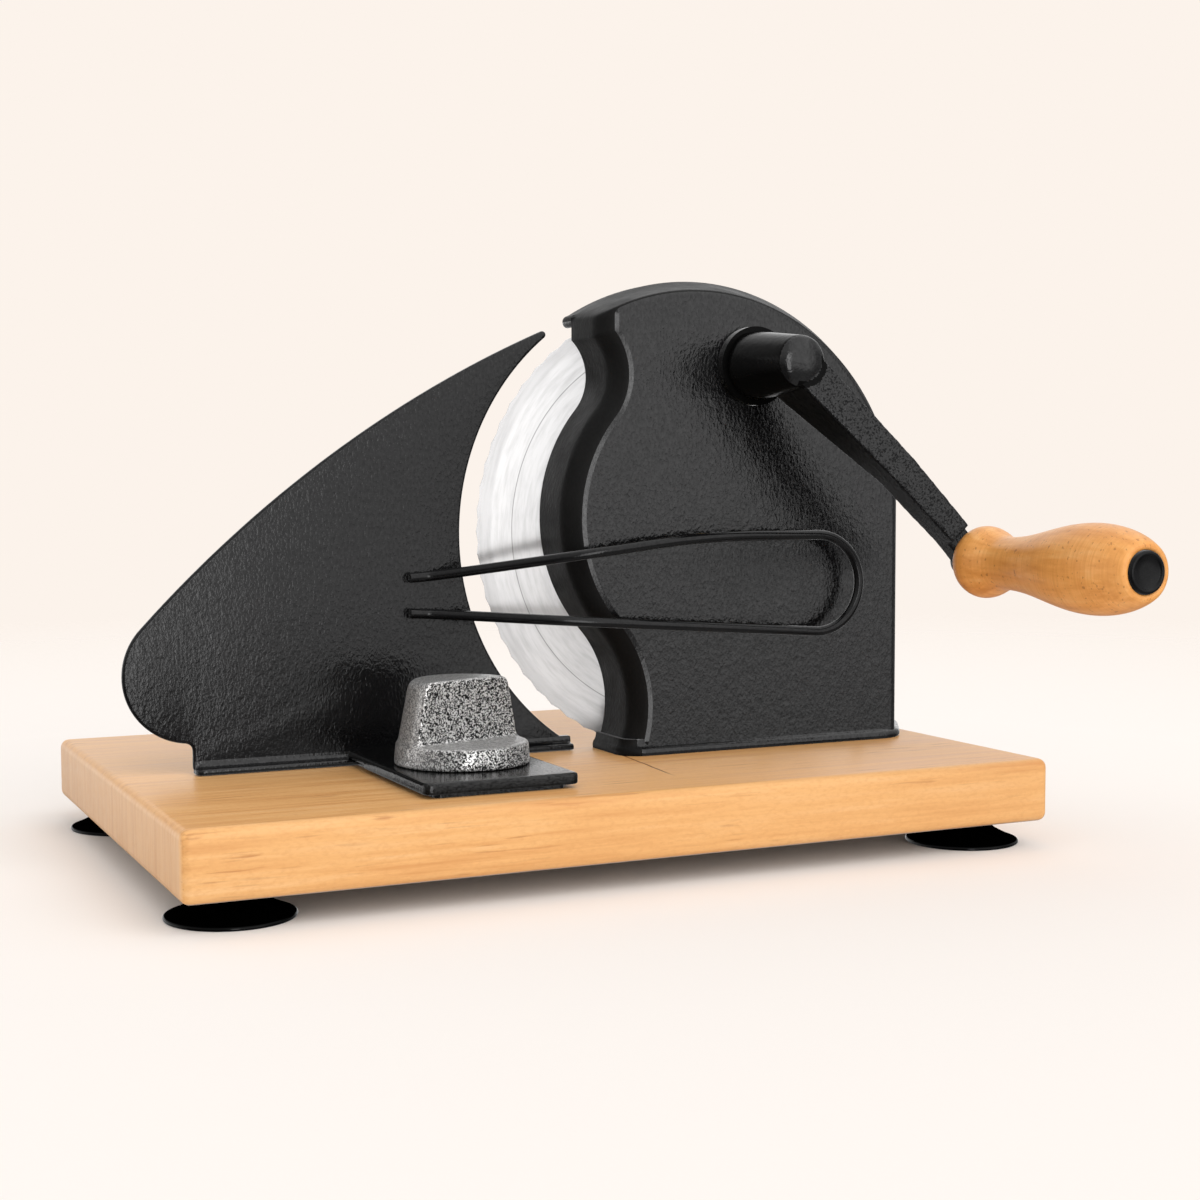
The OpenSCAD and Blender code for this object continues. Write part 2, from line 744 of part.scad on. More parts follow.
module blade_gear() {
    color(nylon) at_blade() difference() {
        union() {
            slab(gear_back_y, gear_w) rotate(crank_dir) polygon(gear_points(gear_teeth));
            bar(blade_front_y, gear_back_y - slop, hub_flange_d);
            bar(blade_back_y, blade_front_y - slop, spigot_d);
            bar(gear_front_y + slop, hub_front_y, hub_nose_d);
        }
        bar(blade_back_y + slop, hub_front_y - slop, gear_bush_d + 2 * fix_fit);
        bar(blade_back_y + slop, axle_end_y - 0.2, recess_d);
        for (k = [0 : blade_screws_n - 1])
            rotate([0, -k * 360 / blade_screws_n, 0]) translate([blade_screws_r, 0, 0])
                bar(blade_back_y, blade_front_y - hub_flange_l, blade_screw_d + 2 * fix_fit);
    }
}

module gear_bush() {
    color(bronze) at_blade() difference() {
        bar(axle_end_y - end_play, hub_front_y, gear_bush_d);
        bar(axle_end_y + slop, hub_front_y - slop, axle_d + 2 * run_fit);
    }
}

module blade_screws() {
    color(steel) at_blade() translate([0, blade_back_y, 0]) rotate([90, 0, 0])
        for (k = [0 : blade_screws_n - 1])
            rotate(k * 360 / blade_screws_n) translate([blade_screws_r, 0, 0])
                flat_screw(blade_screw_d, blade_t + hub_flange_l - 0.5, 2 * blade_screw_d, blade_t * 0.8);
}

// Crank

module crank_bush() {
    color(coat) at_crank() difference() {
        union() {
            bar(bush_inner_y, front_y - slop, bush_d);
            bar(front_y, collar_y, collar_d);
        }
        bar(bush_inner_y + slop, collar_y - slop, shaft_d + 2 * run_fit);
    }
}

module crank_shaft() {
    color(steel) at_crank() difference() {
        bar(shaft_inner_y, shaft_outer_y, shaft_d);
        translate([0, pinion_back_y + pinion_collar_l / 2, 0])
            cylinder(d = pin_d + 2 * fix_fit, h = 4 * shaft_d, center = true);
    }
}

module shaft_washer() {
    color(bronze) at_crank() difference() {
        bar(thrust_y, thrust_y - thrust_t, thrust_d);
        bar(thrust_y + slop, thrust_y - thrust_t - slop, shaft_d + 2 * run_fit);
    }
}

module drive_pinion() {
    color(steel) at_crank() difference() {
        union() {
            slab(pinion_back_y, pinion_back_y - pinion_front_y)
                rotate(crank_dir + 180 + 180 / pinion_teeth) polygon(gear_points(pinion_teeth));
            bar(pinion_back_y + pinion_collar_l, pinion_back_y - slop, pinion_collar_d);
        }
        bar(pinion_back_y + pinion_collar_l + slop, pinion_front_y - slop, shaft_d + 2 * fix_fit);
        translate([0, pinion_back_y + pinion_collar_l / 2, 0])
            cylinder(d = pin_d + 2 * fix_fit, h = 4 * shaft_d, center = true);
    }
}

module pinion_pin() {
    color(steel) at_crank() translate([0, pinion_back_y + pinion_collar_l / 2, 0])
        cylinder(d = pin_d, h = pinion_collar_d - 1, center = true);
}

// Hub profile: a slim cone with a domed end
module hub_body() {
    r = hub_end_d / 2;
    steps = 10;
    translate([0, hub_start_y, 0]) rotate([90, 0, 0]) rotate_extrude() polygon(concat(
        [[0, 0], [hub_d / 2, 0]],
        [for (i = [0 : steps - 1]) let (a = 90 * i / steps)
            [r * cos(a), hub_l - hub_dome + hub_dome * sin(a)]],
        [[0, hub_l]]));
}

// One block of the arm, at a distance from the crank's axis
module arm_block(along, y_front, t, w) {
    translate([along - 1, y_front, -w / 2]) cube([2, t, w]);
}

module crank_arm() {
    color(coat) difference() {
        union() {
            at_crank() hub_body();
            at_crank() rotate([0, arm_dir, 0]) {
                hull() {
                    arm_block(0, arm_root_y, arm_root_t, arm_root_w);
                    arm_block(arm_bend * crank_r, arm_bend_y, arm_bend_t, arm_bend_w);
                }
                hull() {
                    arm_block(arm_bend * crank_r, arm_bend_y, arm_bend_t, arm_bend_w);
                    arm_block(arm_shoulder, arm_tip_y - arm_step, arm_tip_t + arm_step, arm_tip_w);
                }
                hull() {
                    arm_block(arm_shoulder, arm_tip_y, arm_tip_t, arm_tip_w);
                    arm_block(crank_r, arm_tip_y, arm_tip_t, arm_tip_w);
                }
            }
            at_grip() bar(spindle_back_y, arm_tip_y, arm_boss_d);
        }
        at_crank() bar(hub_start_y + slop, shaft_outer_y, shaft_d + 2 * fix_fit);
        at_grip() bar(spindle_back_y + 6 * slop, arm_tip_y - slop, spindle_d + 2 * fix_fit);
        at_grip() bar(spindle_back_y + 6 * slop, spindle_back_y, spindle_head_d + 1.5);
        at_crank() translate([0, set_screw_y, 0]) rotate([0, 90, 0])
            cylinder(d = set_screw_d + 2 * fix_fit, h = hub_d);
    }
}

module arm_screw() {
    color(steel) at_crank() translate([shaft_d / 2 + 2 * fix_fit, set_screw_y, 0]) rotate([0, 90, 0])
        cylinder(d = set_screw_d, h = hub_end_d / 2 - shaft_d / 2);
}

module grip_spindle() {
    color(steel) at_grip() {
        bar(spindle_back_y, spindle_end_y, spindle_d);
        bar(spindle_back_y + spindle_rivet_t, spindle_back_y, spindle_head_d);
        bar(head_seat_y, spindle_end_y, spindle_head_d);
    }
}

// Radius of the grip at a distance from the arm
function wave(t) = (1 - cos(180 * t)) / 2;
function grip_radius(s) =
    s < grip_flange_at ? grip_flange_d / 2 - 2 * pow(1 - s / grip_flange_at, 2)
    : s < grip_neck_at ? (grip_flange_d
        + (grip_neck_d - grip_flange_d) * wave((s - grip_flange_at) / (grip_neck_at - grip_flange_at))) / 2
    : s < grip_belly_at ? (grip_neck_d
        + (grip_belly_d - grip_neck_d) * wave((s - grip_neck_at) / (grip_belly_at - grip_neck_at))) / 2
    : grip_belly_d / 2 * sqrt(1 - (1 - pow(grip_end_d / grip_belly_d, 2))
        * pow((s - grip_belly_at) / (grip_l - grip_belly_at), 2));

module crank_grip() {
    steps = 40;
    color(grip_wood) at_grip() difference() {
        translate([0, grip_y, 0]) rotate([90, 0, 0]) rotate_extrude() polygon(concat(
            [[0, 0]],
            [for (i = [0 : steps]) [grip_radius(grip_l * i / steps), grip_l * i / steps]],
            [[0, grip_l]]));
        bar(grip_y + slop, grip_end_y - slop, spindle_d + 2 * run_fit);
        bar(head_seat_y + end_play, grip_end_y - slop, plug_d);
    }
}

module grip_plug() {
    r = plug_d / 2 - fix_fit;
    steps = 6;
    color(rubber) at_grip() translate([0, plug_y, 0]) rotate([90, 0, 0]) rotate_extrude() polygon(concat(
        [[0, 0], [r, 0]],
        [for (i = [0 : steps]) let (a = 90 * i / steps) [r * cos(a), plug_t + plug_dome * sin(a)]]));
}

// Fence and slice adjustment

module fence_outline() {
    far = 3 * nose_r;
    difference() {
        union() {
            intersection() {
                translate([arc_x, arc_z]) circle(fence_arc_r, $fn = 240);
                polygon([[nose_x, foot_z], [lip_x, foot_z], [blade_x, fence_edge_z], [tip_x, tip_z],
                         [tip_x + 0.05 * (tip_x - arc_x), tip_z + 0.05 * (tip_z - arc_z)],
                         [nose_x - far * cos(fence_arc_dir), nose_z - far * sin(fence_arc_dir)],
                         [nose_x, nose_z]]);
            }
            translate([tip_x, tip_z]) circle(fence_tip_r);
            translate([nose_x, nose_z]) circle(nose_r);
        }
        translate([blade_x, fence_edge_z]) circle(fence_edge_r);
        translate([fence_foot_right, 0]) square([blade_x, nose_z]);
    }
}

module fence_plate() {
    color(coat) difference() {
        union() {
            slab(fence_back_y, fence_t) fence_outline();
            translate([nose_x, fence_front_y - foot_flange_w, foot_z])
                cube([fence_foot_right + foot_flange_over - nose_x,
                      foot_flange_w + fence_t / 2, foot_flange_t]);
            translate([knob_x - slide_w / 2 + tab_inset, tab_front_y, foot_z])
                cube([slide_w - 2 * tab_inset, foot_tab_w + fence_t / 2, foot_flange_t]);
        }
        for (x = plate_screw_xs)
            translate([knob_x + x, plate_screw_y, foot_z])
                flat_screw_hole(plate_screw_d, foot_flange_t + slop,
                                plate_screw_head_d, plate_screw_head_t, fix_fit);
    }
}

module slide_plate() {
    color(coat) difference() {
        translate([0, 0, slide_z]) linear_extrude(slide_t) difference() {
            round_rect([knob_x - slide_w / 2, slide_front_y], [slide_w, slide_l], slide_corner);
            translate([knob_x, 0])
                slot_outline(rib_front_y - stop_gap, rib_back_y + slice_max + stop_gap,
                             rib_w + 2 * slide_gap);
        }
        for (x = plate_screw_xs)
            translate([knob_x + x, plate_screw_y, slide_z - slop])
                cylinder(d = plate_screw_d + 2 * fix_fit, h = slop + slide_t - 0.8);
    }
}

module plate_screws() {
    color(steel)
    for (x = plate_screw_xs)
        translate([knob_x + x, plate_screw_y, foot_z])
            flat_screw(plate_screw_d, foot_flange_t + slide_t - 1, plate_screw_head_d, plate_screw_head_t);
}

module slide_rail() {
    color(coat) difference() {
        union() {
            translate([0, 0, z_top]) linear_extrude(foot_flange_t)
                round_rect([knob_x - rail_w / 2, rail_front_y],
                           [rail_w, rail_back_y - rail_front_y], slide_corner);
            translate([knob_x, 0, z_top]) linear_extrude(foot_flange_t + slide_t)
                slot_outline(rib_front_y, rib_back_y, rib_w);
        }
        at_knob() translate([0, 0, z_top - slop]) cylinder(d = stud_d + 2 * fix_fit, h = 20 * slop);
        for (x = [-rail_screw_x, rail_screw_x], y = rail_screw_ys)
            translate([knob_x + x, y, rail_top]) mirror([0, 0, 1])
                flat_screw_hole(rail_screw_d, foot_flange_t + slop,
                                rail_screw_head_d, rail_screw_head_t, fix_fit);
    }
}

module rail_screws() {
    color(steel)
    for (x = [-rail_screw_x, rail_screw_x], y = rail_screw_ys)
        translate([knob_x + x, y, rail_top]) mirror([0, 0, 1])
            flat_screw(rail_screw_d, rail_screw_l - 1, rail_screw_head_d, rail_screw_head_t);
}

module clamp_stud() {
    color(steel) at_knob() {
        translate([0, 0, stud_head_z]) cylinder(d = stud_head_d, h = stud_head_t);
        translate([0, 0, stud_head_z]) cylinder(d = stud_d, h = stud_top - stud_head_z);
    }
}

// Half outline of the wing with its rounded upper edge
function wing_points() =
    let (lean = atan((knob_d - knob_top_d) / 2 / knob_h),
         z = knob_h - wing_round,
         x = knob_d / 2 - z * tan(lean) - wing_round / cos(lean))
    concat([[0, 0], [knob_d / 2, 0]],
           [for (i = [0 : 5]) let (a = lean + (90 - lean) * i / 5)
               [x + wing_round * cos(a), z + wing_round * sin(a)]],
           [[0, knob_h]]);

module clamp_knob() {
    color(zinc) at_knob() difference() {
        translate([0, 0, knob_z]) {
            cylinder(d1 = knob_d, d2 = knob_d - 1.5, h = knob_base_h);
            rotate([0, 0, knob_set]) difference() {
                rotate_extrude() polygon(wing_points());
                translate([-knob_d, -wing_face - 2 * knob_d, -slop])
                    cube([2 * knob_d, 2 * knob_d, knob_h + 2 * slop]);
            }
        }
        translate([0, 0, knob_z - slop]) cylinder(d = washer_d + 1, h = slop + washer_recess);
        translate([0, 0, insert_z - slop]) cylinder(d = insert_d + 2 * fix_fit, h = slop + insert_l);
    }
}

module knob_insert() {
    color(bronze) at_knob() translate([0, 0, insert_z]) difference() {
        cylinder(d = insert_d, h = insert_l - 0.1);
        translate([0, 0, -slop]) cylinder(d = stud_d + 2 * run_fit, h = insert_l + 2 * slop);
    }
}

module knob_washer() {
    color(steel) at_knob() translate([0, 0, washer_z]) difference() {
        cylinder(d = washer_d, h = washer_t);
        translate([0, 0, -slop]) cylinder(d = stud_d + 2 * run_fit, h = washer_t + 2 * slop);
    }
}

// Guard wire

// Corner cutting, which rounds a chain of points
function soften(p) = concat(
    [p[0]],
    [for (i = [0 : len(p) - 2]) each [0.75 * p[i] + 0.25 * p[i + 1], 0.25 * p[i] + 0.75 * p[i + 1]]],
    [p[len(p) - 1]]);

wire_upper = soften(soften([
    [wire_end_x, wire_weld_y, wire_upper_weld_z],
    [wire_bend_x, wire_weld_y, wire_upper_weld_z + 0.7],
    [wire_turn_x, wire_loop_y, wire_upper_turn_z],
    [(wire_turn_x + wire_loop_x) / 2, wire_loop_y, wire_upper_mid_z + 0.4],
    [wire_loop_x, wire_loop_y, wire_upper_mid_z]]));
wire_bow = [for (a = [75 : -15 : -75])
    [wire_loop_x + wire_loop_r * cos(a), wire_loop_y, wire_loop_z + wire_loop_r * sin(a)]];
wire_lower = soften(soften([
    [wire_loop_x, wire_loop_y, wire_loop_z - wire_loop_r],
    [wire_turn_x, wire_loop_y, wire_lower_turn_z],
    [wire_bend_x, wire_weld_y, wire_lower_weld_z - 0.7],
    [wire_end_x, wire_weld_y, wire_lower_weld_z]]));
wire_path = concat(wire_upper, wire_bow, wire_lower);

function unit(v) = v / norm(v);
function direction(p, i) = unit(p[min(i + 1, len(p) - 1)] - p[max(i - 1, 0)]);

// A tube of the given radius along a chain of points
module tube(p, r, sides) {
    rings = [for (i = [0 : len(p) - 1])
        let (t = direction(p, i), u = unit(cross(t, [0, 1, 0])), v = cross(t, u))
        for (k = [0 : sides - 1]) let (a = 360 * k / sides)
            p[i] + r * (cos(a) * u + sin(a) * v)];
    last = sides * (len(p) - 1);
    walls = [for (i = [0 : len(p) - 2], k = [0 : sides - 1])
        let (a = i * sides + k, b = i * sides + (k + 1) % sides)
        each [[a, b, a + sides], [b, b + sides, a + sides]]];
    ends = [for (k = [1 : sides - 2]) each [[0, k + 1, k], [last, last + k, last + k + 1]]];
    polyhedron(rings, concat(walls, ends));
}

module guard_wire() {
    color(coat) tube(wire_path, wire_r, wire_sides);
}

put() base_board();
put() suction_foot_front_left();
put() suction_foot_front_right();
put() suction_foot_rear_left();
put() suction_foot_rear_right();
put() foot_screws();
put() housing();
put() housing_screws();
put() blade_axle();
put() axle_washer();
put() axle_screw();
put() crank_bush();
put() slide_rail();
put() rail_screws();
put() clamp_stud();
put() blade();
put() blade_gear();
put() gear_bush();
put() blade_screws();
put() crank_shaft();
put() shaft_washer();
put() drive_pinion();
put() pinion_pin();
put() crank_arm();
put() arm_screw();
put() grip_spindle();
put() crank_grip();
put() grip_plug();
put() fence_plate();
put() slide_plate();
put() plate_screws();
put() guard_wire();
put() clamp_knob();
put() knob_insert();
put() knob_washer();
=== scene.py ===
"""Looks of the hand-cranked bread slicer: meshes, materials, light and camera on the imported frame."""

import math

import bmesh
import bpy
from mathutils import Matrix, Vector


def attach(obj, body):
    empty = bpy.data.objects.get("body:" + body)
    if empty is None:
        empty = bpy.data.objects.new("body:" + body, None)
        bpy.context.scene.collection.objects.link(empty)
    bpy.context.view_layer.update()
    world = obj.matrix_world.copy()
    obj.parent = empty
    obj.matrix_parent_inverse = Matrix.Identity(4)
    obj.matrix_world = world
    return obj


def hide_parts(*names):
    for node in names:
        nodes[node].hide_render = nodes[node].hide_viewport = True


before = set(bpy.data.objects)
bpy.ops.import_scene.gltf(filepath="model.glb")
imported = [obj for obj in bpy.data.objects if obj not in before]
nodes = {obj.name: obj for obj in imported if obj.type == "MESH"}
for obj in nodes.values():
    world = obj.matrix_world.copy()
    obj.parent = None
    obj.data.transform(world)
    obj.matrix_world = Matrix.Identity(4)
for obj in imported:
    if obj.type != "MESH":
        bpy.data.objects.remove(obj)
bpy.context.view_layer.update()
MM = 0.001

# Sizes in millimetres, drawn from the centre of the board's underside as in the solids
# Board, the slot under the blade and the clamp stud's counterbore
BOARD_L, BOARD_D, BOARD_T = 345.0, 234.0, 25.0
BOARD_ROUND = 3.6
TOP = BOARD_T
SLOT_BACK, SLOT_W = -2.5, 6.5
STUD_R, STUD_DEEP = 8.03, 4.5
# A fine crack in the board: where it starts, and how it leans as it runs to the front
CRACK_X, CRACK_Y, CRACK_LEAN = 24.6, -26.0, -5.6 / 63.0
# Blade: the place, the free radius round it, the scalloped edge, the turned line, the ground rim
# and the rings of its mesh
BLADE_X, BLADE_Z, BLADE_R = 67.5, 115.5, 95.0
BLADE_BACK, BLADE_FRONT = -5.0, -6.5
BLADE_HOLE_R, BLADE_CLEAR_R = 16.03, BLADE_R + 2.5
TEETH, TOOTH_STEPS, TOOTH_DEPTH = 66, 14, 0.75
GROOVE_R = 79.5
GROUND_START_R, GROUND_END_R = 88.5, 90.5
BEVEL_R, FLAT_R, MIDDLE_R = 86.0, 93.0, 60.0
# Housing: depths, wall, the roof's circle at the back and at the front, and the right wall
FRONT_Y, INNER_Y, S_BACK = -38.0, -34.0, -9.0
WALL = 3.5
HOOD_X, HOOD_Z, HOOD_R = 69.5, 117.0, 101.5
HOOD_FRONT_X, HOOD_FRONT_Z, HOOD_FRONT_R = 58.5, 117.5, 94.5
RIGHT_BACK, RIGHT_FRONT = 171.0, 152.6
# Rounds of the curved edge and the roof, and the narrow facet that ends the curved edge's round
FRONT_ROUND, ROOF_ROUND, BACK_ROUND = 8.0, 2.0, 0.5
FACET_W, FACET_TILT, FACET_DEPTH = 1.9, 18.0, 0.65
FACET_START_Z, FACET_END_Z = TOP + 5.0, 202.0
# The curved left edge: waist, bulge and neck up to the lip with its round nose
BULGE_X, BULGE_Z, BULGE_R = 67.5, 120.5, 68.5
NECK_R, NECK_DIR = 20.5, 140.0
WAIST_R, WAIST_DIR = 45.0, 222.0
LIP_X, LIP_NOSE_R, LIP_NOSE_TURN, LIP_INSIDE_Z = 13.5, 2.2, 172.0, 199.0
# Share of the foot bead's reach on the left side
LEFT_BEAD = 0.4
# Crank: the hub's radius at the collar, the collar's front, the taper, the dome's radius on both sides,
# the way from the blade's axis to the crank's, and the way from there to the grip
HUB_SIDE_R = 14.4
HUB_Y = FRONT_Y - 4.3
HUB_SLOPE = 0.108
# Beyond the smaller dome radius, on the arm's side, the dark hub coat is a band of painted shade
DOME_R, DOME_SHADE_START_R = 10.2, 7.9
GEAR_REACH, GEAR_DIR = 68.0, 78.0
ARM_REACH, ARM_DIR = 110.5, -46.0
# Grip and plug
GRIP_Y, GRIP_L, GRIP_BORE_R = -87.8, 99.0, 4.05
FLANGE_R, FLANGE_AT = 14.5, 6.0
NECK_GRIP_R, NECK_GRIP_AT = 10.5, 21.0
BELLY_R, BELLY_AT = 17.2, 72.5
GRIP_END_R, PLUG_R, PLUG_OUT = 10.5, 8.0, 1.2
# Clamp knob, and the slide plate: width, front, middle height and the edge that hangs over the rail
KNOB_X, KNOB_Y = -53.5, -57.0
SLIDE_W, SLIDE_FRONT, SLIDE_MID_Z = 59.5, -98.5, TOP + 4.2
SKIRT_W, SKIRT_DROP, SKIRT_END_Y = 2.0, 1.3, -30.0
# Suction feet
FOOT_X, FOOT_Y, FOOT_H, FOOT_R = 150.0, 90.0, 10.5, 22.5
# Fence: the nose, the long upper edge, the inner edge round the blade, the tip and the foot
NOSE_X, NOSE_Z, NOSE_R, NOSE_STOP = -143.0, 63.0, 26.0, 262.0
ARC_R, ARC_DIR = 487.0, -42.9
EDGE_R, EDGE_Z = BLADE_R + 7.4, BLADE_Z - 1.2
TIP_R, FENCE_ROUND = 1.5, 1.2
FENCE_FRONT, FENCE_RIGHT = -8.0, 10.0
FENCE_FOOT_Z, FENCE_FOOT_ROUND, FENCE_FOOT_RIGHT = TOP + 0.2, 3.0, 13.0
# Guard wire
WIRE_R, WIRE_Y, WELD_Y = 2.0, -47.0, -10.0
LOOP_X, LOOP_Z, LOOP_R = 108.0, 93.0, 20.0
# Points along the parts of the housing's outline
WAIST_STEPS, BULGE_STEPS, NECK_STEPS = 20, 44, 25
LIP_STEPS, ROOF_STEPS, SHOULDER_STEPS, WALL_STEPS = 7, 64, 14, 16
S_COUNT = WAIST_STEPS + BULGE_STEPS + NECK_STEPS
ROOF_COUNT = LIP_STEPS + ROOF_STEPS + SHOULDER_STEPS + WALL_STEPS


def polar(cx, cz, r, degrees):
    a = math.radians(degrees)
    return cx + r * math.cos(a), cz + r * math.sin(a)


def arc(cx, cz, r, start, stop, steps):
    """Points of an arc in equal steps, with both ends."""
    return [polar(cx, cz, r, start + (stop - start) * i / steps) for i in range(steps + 1)]


CRANK_X, CRANK_Z = polar(BLADE_X, BLADE_Z, GEAR_REACH, GEAR_DIR)
GRIP_X, GRIP_Z = polar(CRANK_X, CRANK_Z, ARM_REACH, ARM_DIR)
NECK_X, NECK_Z = polar(BULGE_X, BULGE_Z, BULGE_R + NECK_R, NECK_DIR)
WAIST_X, WAIST_Z = polar(BULGE_X, BULGE_Z, BULGE_R + WAIST_R, WAIST_DIR)
ARC_X, ARC_Z = polar(NOSE_X, NOSE_Z, ARC_R - NOSE_R, ARC_DIR)

# Shift from the board's underside to the part's origin
SHIFT = Vector(((BOARD_L / 2 - GRIP_X - BELLY_R) / 2, (GRIP_L - GRIP_Y + PLUG_OUT - BOARD_D / 2) / 2, FOOT_H))


def placed(x, y, z):
    """A point of the drawing as a place in the part's frame, in metres."""
    return (x + SHIFT.x) * MM, (y + SHIFT.y) * MM, (z + SHIFT.z) * MM


def drawn(place):
    """A place in the part's frame as a point of the drawing, in millimetres."""
    return place / MM - SHIFT


# Material helpers

def new_material(name):
    mat = bpy.data.materials.new(name)
    mat.use_nodes = True
    tree = mat.node_tree
    tree.nodes.clear()
    out = tree.nodes.new("ShaderNodeOutputMaterial")
    shader = tree.nodes.new("ShaderNodeBsdfPrincipled")
    tree.links.new(shader.outputs["BSDF"], out.inputs["Surface"])
    return mat, tree, shader


def put(tree, node, key, value):
    """Links a socket to a node's input, or sets a fixed value there."""
    if isinstance(value, bpy.types.NodeSocket):
        tree.links.new(value, node.inputs[key])
    else:
        node.inputs[key].default_value = value


def add(tree, kind, inputs=None, **settings):
    node = tree.nodes.new("ShaderNode" + kind)
    for key, value in settings.items():
        setattr(node, key, value)
    for key, value in (inputs or {}).items():
        put(tree, node, key, value)
    return node


def math_node(tree, operation, *values):
    return add(tree, "Math", dict(enumerate(values)), operation=operation).outputs[0]


def times(tree, a, b):
    return math_node(tree, "MULTIPLY", a, b)


def object_point(tree, *scale):
    """The place on the object in metres, scaled along the axes where scales are given."""
    coord = add(tree, "TexCoord").outputs["Object"]
    if not scale:
        return coord
    return add(tree, "Mapping", {"Vector": coord, "Scale": scale}).outputs["Vector"]


def split(tree, vector):
    return add(tree, "SeparateXYZ", {"Vector": vector}).outputs


def noise(tree, vector, scale, detail, roughness, distortion=0.0):
    inputs = {"Vector": vector, "Scale": scale, "Detail": detail, "Roughness": roughness,
              "Distortion": distortion}
    return add(tree, "TexNoise", inputs).outputs["Fac"]


def ramp(tree, fac, *stops):
    """A colour band through stops of place and colour."""
    node = add(tree, "ValToRGB", {"Fac": fac})
    band = node.color_ramp
    while len(band.elements) < len(stops):
        band.elements.new(0.5)
    for element, (place, colour) in zip(band.elements, stops):
        element.position = place
        element.color = (*colour, 1.0)
    return node.outputs["Color"]


def span(tree, value, low, high, to_low, to_high):
    """Maps the range from low to high onto the range from to_low to to_high."""
    inputs = {"Value": value, 1: low, 2: high, 3: to_low, 4: to_high}
    return add(tree, "MapRange", inputs).outputs[0]


def mix(tree, fac, a, b):
    """Mix of two colours; 6 and 7 are the node's colour inputs and 2 is its colour output."""
    node = add(tree, "Mix", {0: fac}, data_type="RGBA")
    for key, value in ((6, a), (7, b)):
        put(tree, node, key, (*value, 1.0) if isinstance(value, tuple) else value)
    return node.outputs[2]


def bump(tree, height, distance):
    return add(tree, "Bump", {"Height": height, "Distance": distance}).outputs["Normal"]


def srgb(*levels):
    """A colour of three levels up to 255 as linear values."""
    shares = [level / 255.0 for level in levels]
    return tuple(v / 12.92 if v <= 0.04045 else ((v + 0.055) / 1.055) ** 2.4 for v in shares)


# Colours

BOARD_DEEP = srgb(214, 152, 92)
BOARD_MID = srgb(233, 178, 115)
BOARD_PALE = srgb(240, 194, 140)
BOARD_PORE = srgb(160, 96, 50)
BOARD_CRACK = srgb(132, 76, 34)
# Colours of the end faces, made paler as a painted sheen and painted light on them
BOARD_END_DEEP_SHEEN = srgb(228, 176, 124)
BOARD_END_PALE_SHEEN = srgb(239, 193, 144)
BOARD_UNDER = srgb(186, 174, 164)
GRIP_DEEP = srgb(216, 142, 66)
GRIP_MID = srgb(241, 171, 94)
GRIP_PALE = srgb(248, 190, 120)
GRIP_FLECK = srgb(150, 84, 36)
COAT_BLACK = (0.003, 0.003, 0.0033)
SLIDE_BLACK = (0.003, 0.003, 0.003)
WALL_BLACK = (0.006, 0.006, 0.006)
HUB_BLACK = (0.002, 0.002, 0.002)
RUBBER_DEEP = (0.0002, 0.0002, 0.0002)
RUBBER_PALE = (0.0005, 0.0005, 0.0005)
BLADE_DIM = (0.80, 0.798, 0.802)
BLADE_BRIGHT = (0.985, 0.982, 0.986)
BLADE_LINE = (0.22, 0.22, 0.22)
BLADE_GROUND = (0.62, 0.615, 0.62)
# Knob: painted shade in the wrinkles' valleys, a mid tone, painted highlight on the ridges, and an even
# painted light for the top and left
KNOB_VALLEY_SHADE = (0.025, 0.025, 0.025)
KNOB_MID = (0.34, 0.335, 0.33)
KNOB_RIDGE_HIGHLIGHT = (0.96, 0.95, 0.94)
KNOB_EVEN_LIGHT = (0.60, 0.595, 0.59)
PLUG_BLACK = (0.004, 0.004, 0.0045)
STEEL = (0.72, 0.72, 0.73)
BRONZE = (0.58, 0.40, 0.18)
NYLON = (0.78, 0.75, 0.66)
CREAM = srgb(252, 243, 235)
PAPER = srgb(251, 245, 240)
DAYLIGHT = (1.0, 0.995, 0.99)
ROOM_WHITE = (1.0, 0.995, 0.992)


# Materials

def coat_material(name, grain, depth, rough, stretch, specular, colour=COAT_BLACK, specks=0.0):
    """Black baked coat with a leathery, grainy skin that runs upright; grain and depth are in metres."""
    mat, tree, shader = new_material(name)
    point = object_point(tree, 1.0, 1.0, stretch)
    broad = noise(tree, point, 1.0 / (grain * 3.5), 2.0, 0.5)
    skin_noise = noise(tree, point, 1.0 / grain, 2.0, 0.6, 0.4)
    mottle = noise(tree, object_point(tree), 60.0, 3.0, 0.6)
    height = math_node(tree, "MULTIPLY_ADD", broad, 0.8, skin_noise)
    put(tree, shader, "Normal", bump(tree, height, depth))
    put(tree, shader, "Roughness", span(tree, mottle, 0.3, 0.7, rough * 0.85, rough * 1.2))
    light = tuple(v * 2.0 for v in colour)
    put(tree, shader, "Base Color", mix(tree, mottle, colour, light))
    gloss = span(tree, skin_noise, 0.3, 0.7, specular * 0.8, specular * 1.2)
    if specks > 0:
        pit = noise(tree, object_point(tree), 1150.0, 2.0, 0.6)
        gloss = times(tree, gloss, span(tree, pit, 0.50, 0.60, 1.0, 1.0 - specks))
    put(tree, shader, "Specular IOR Level", gloss)
    return mat


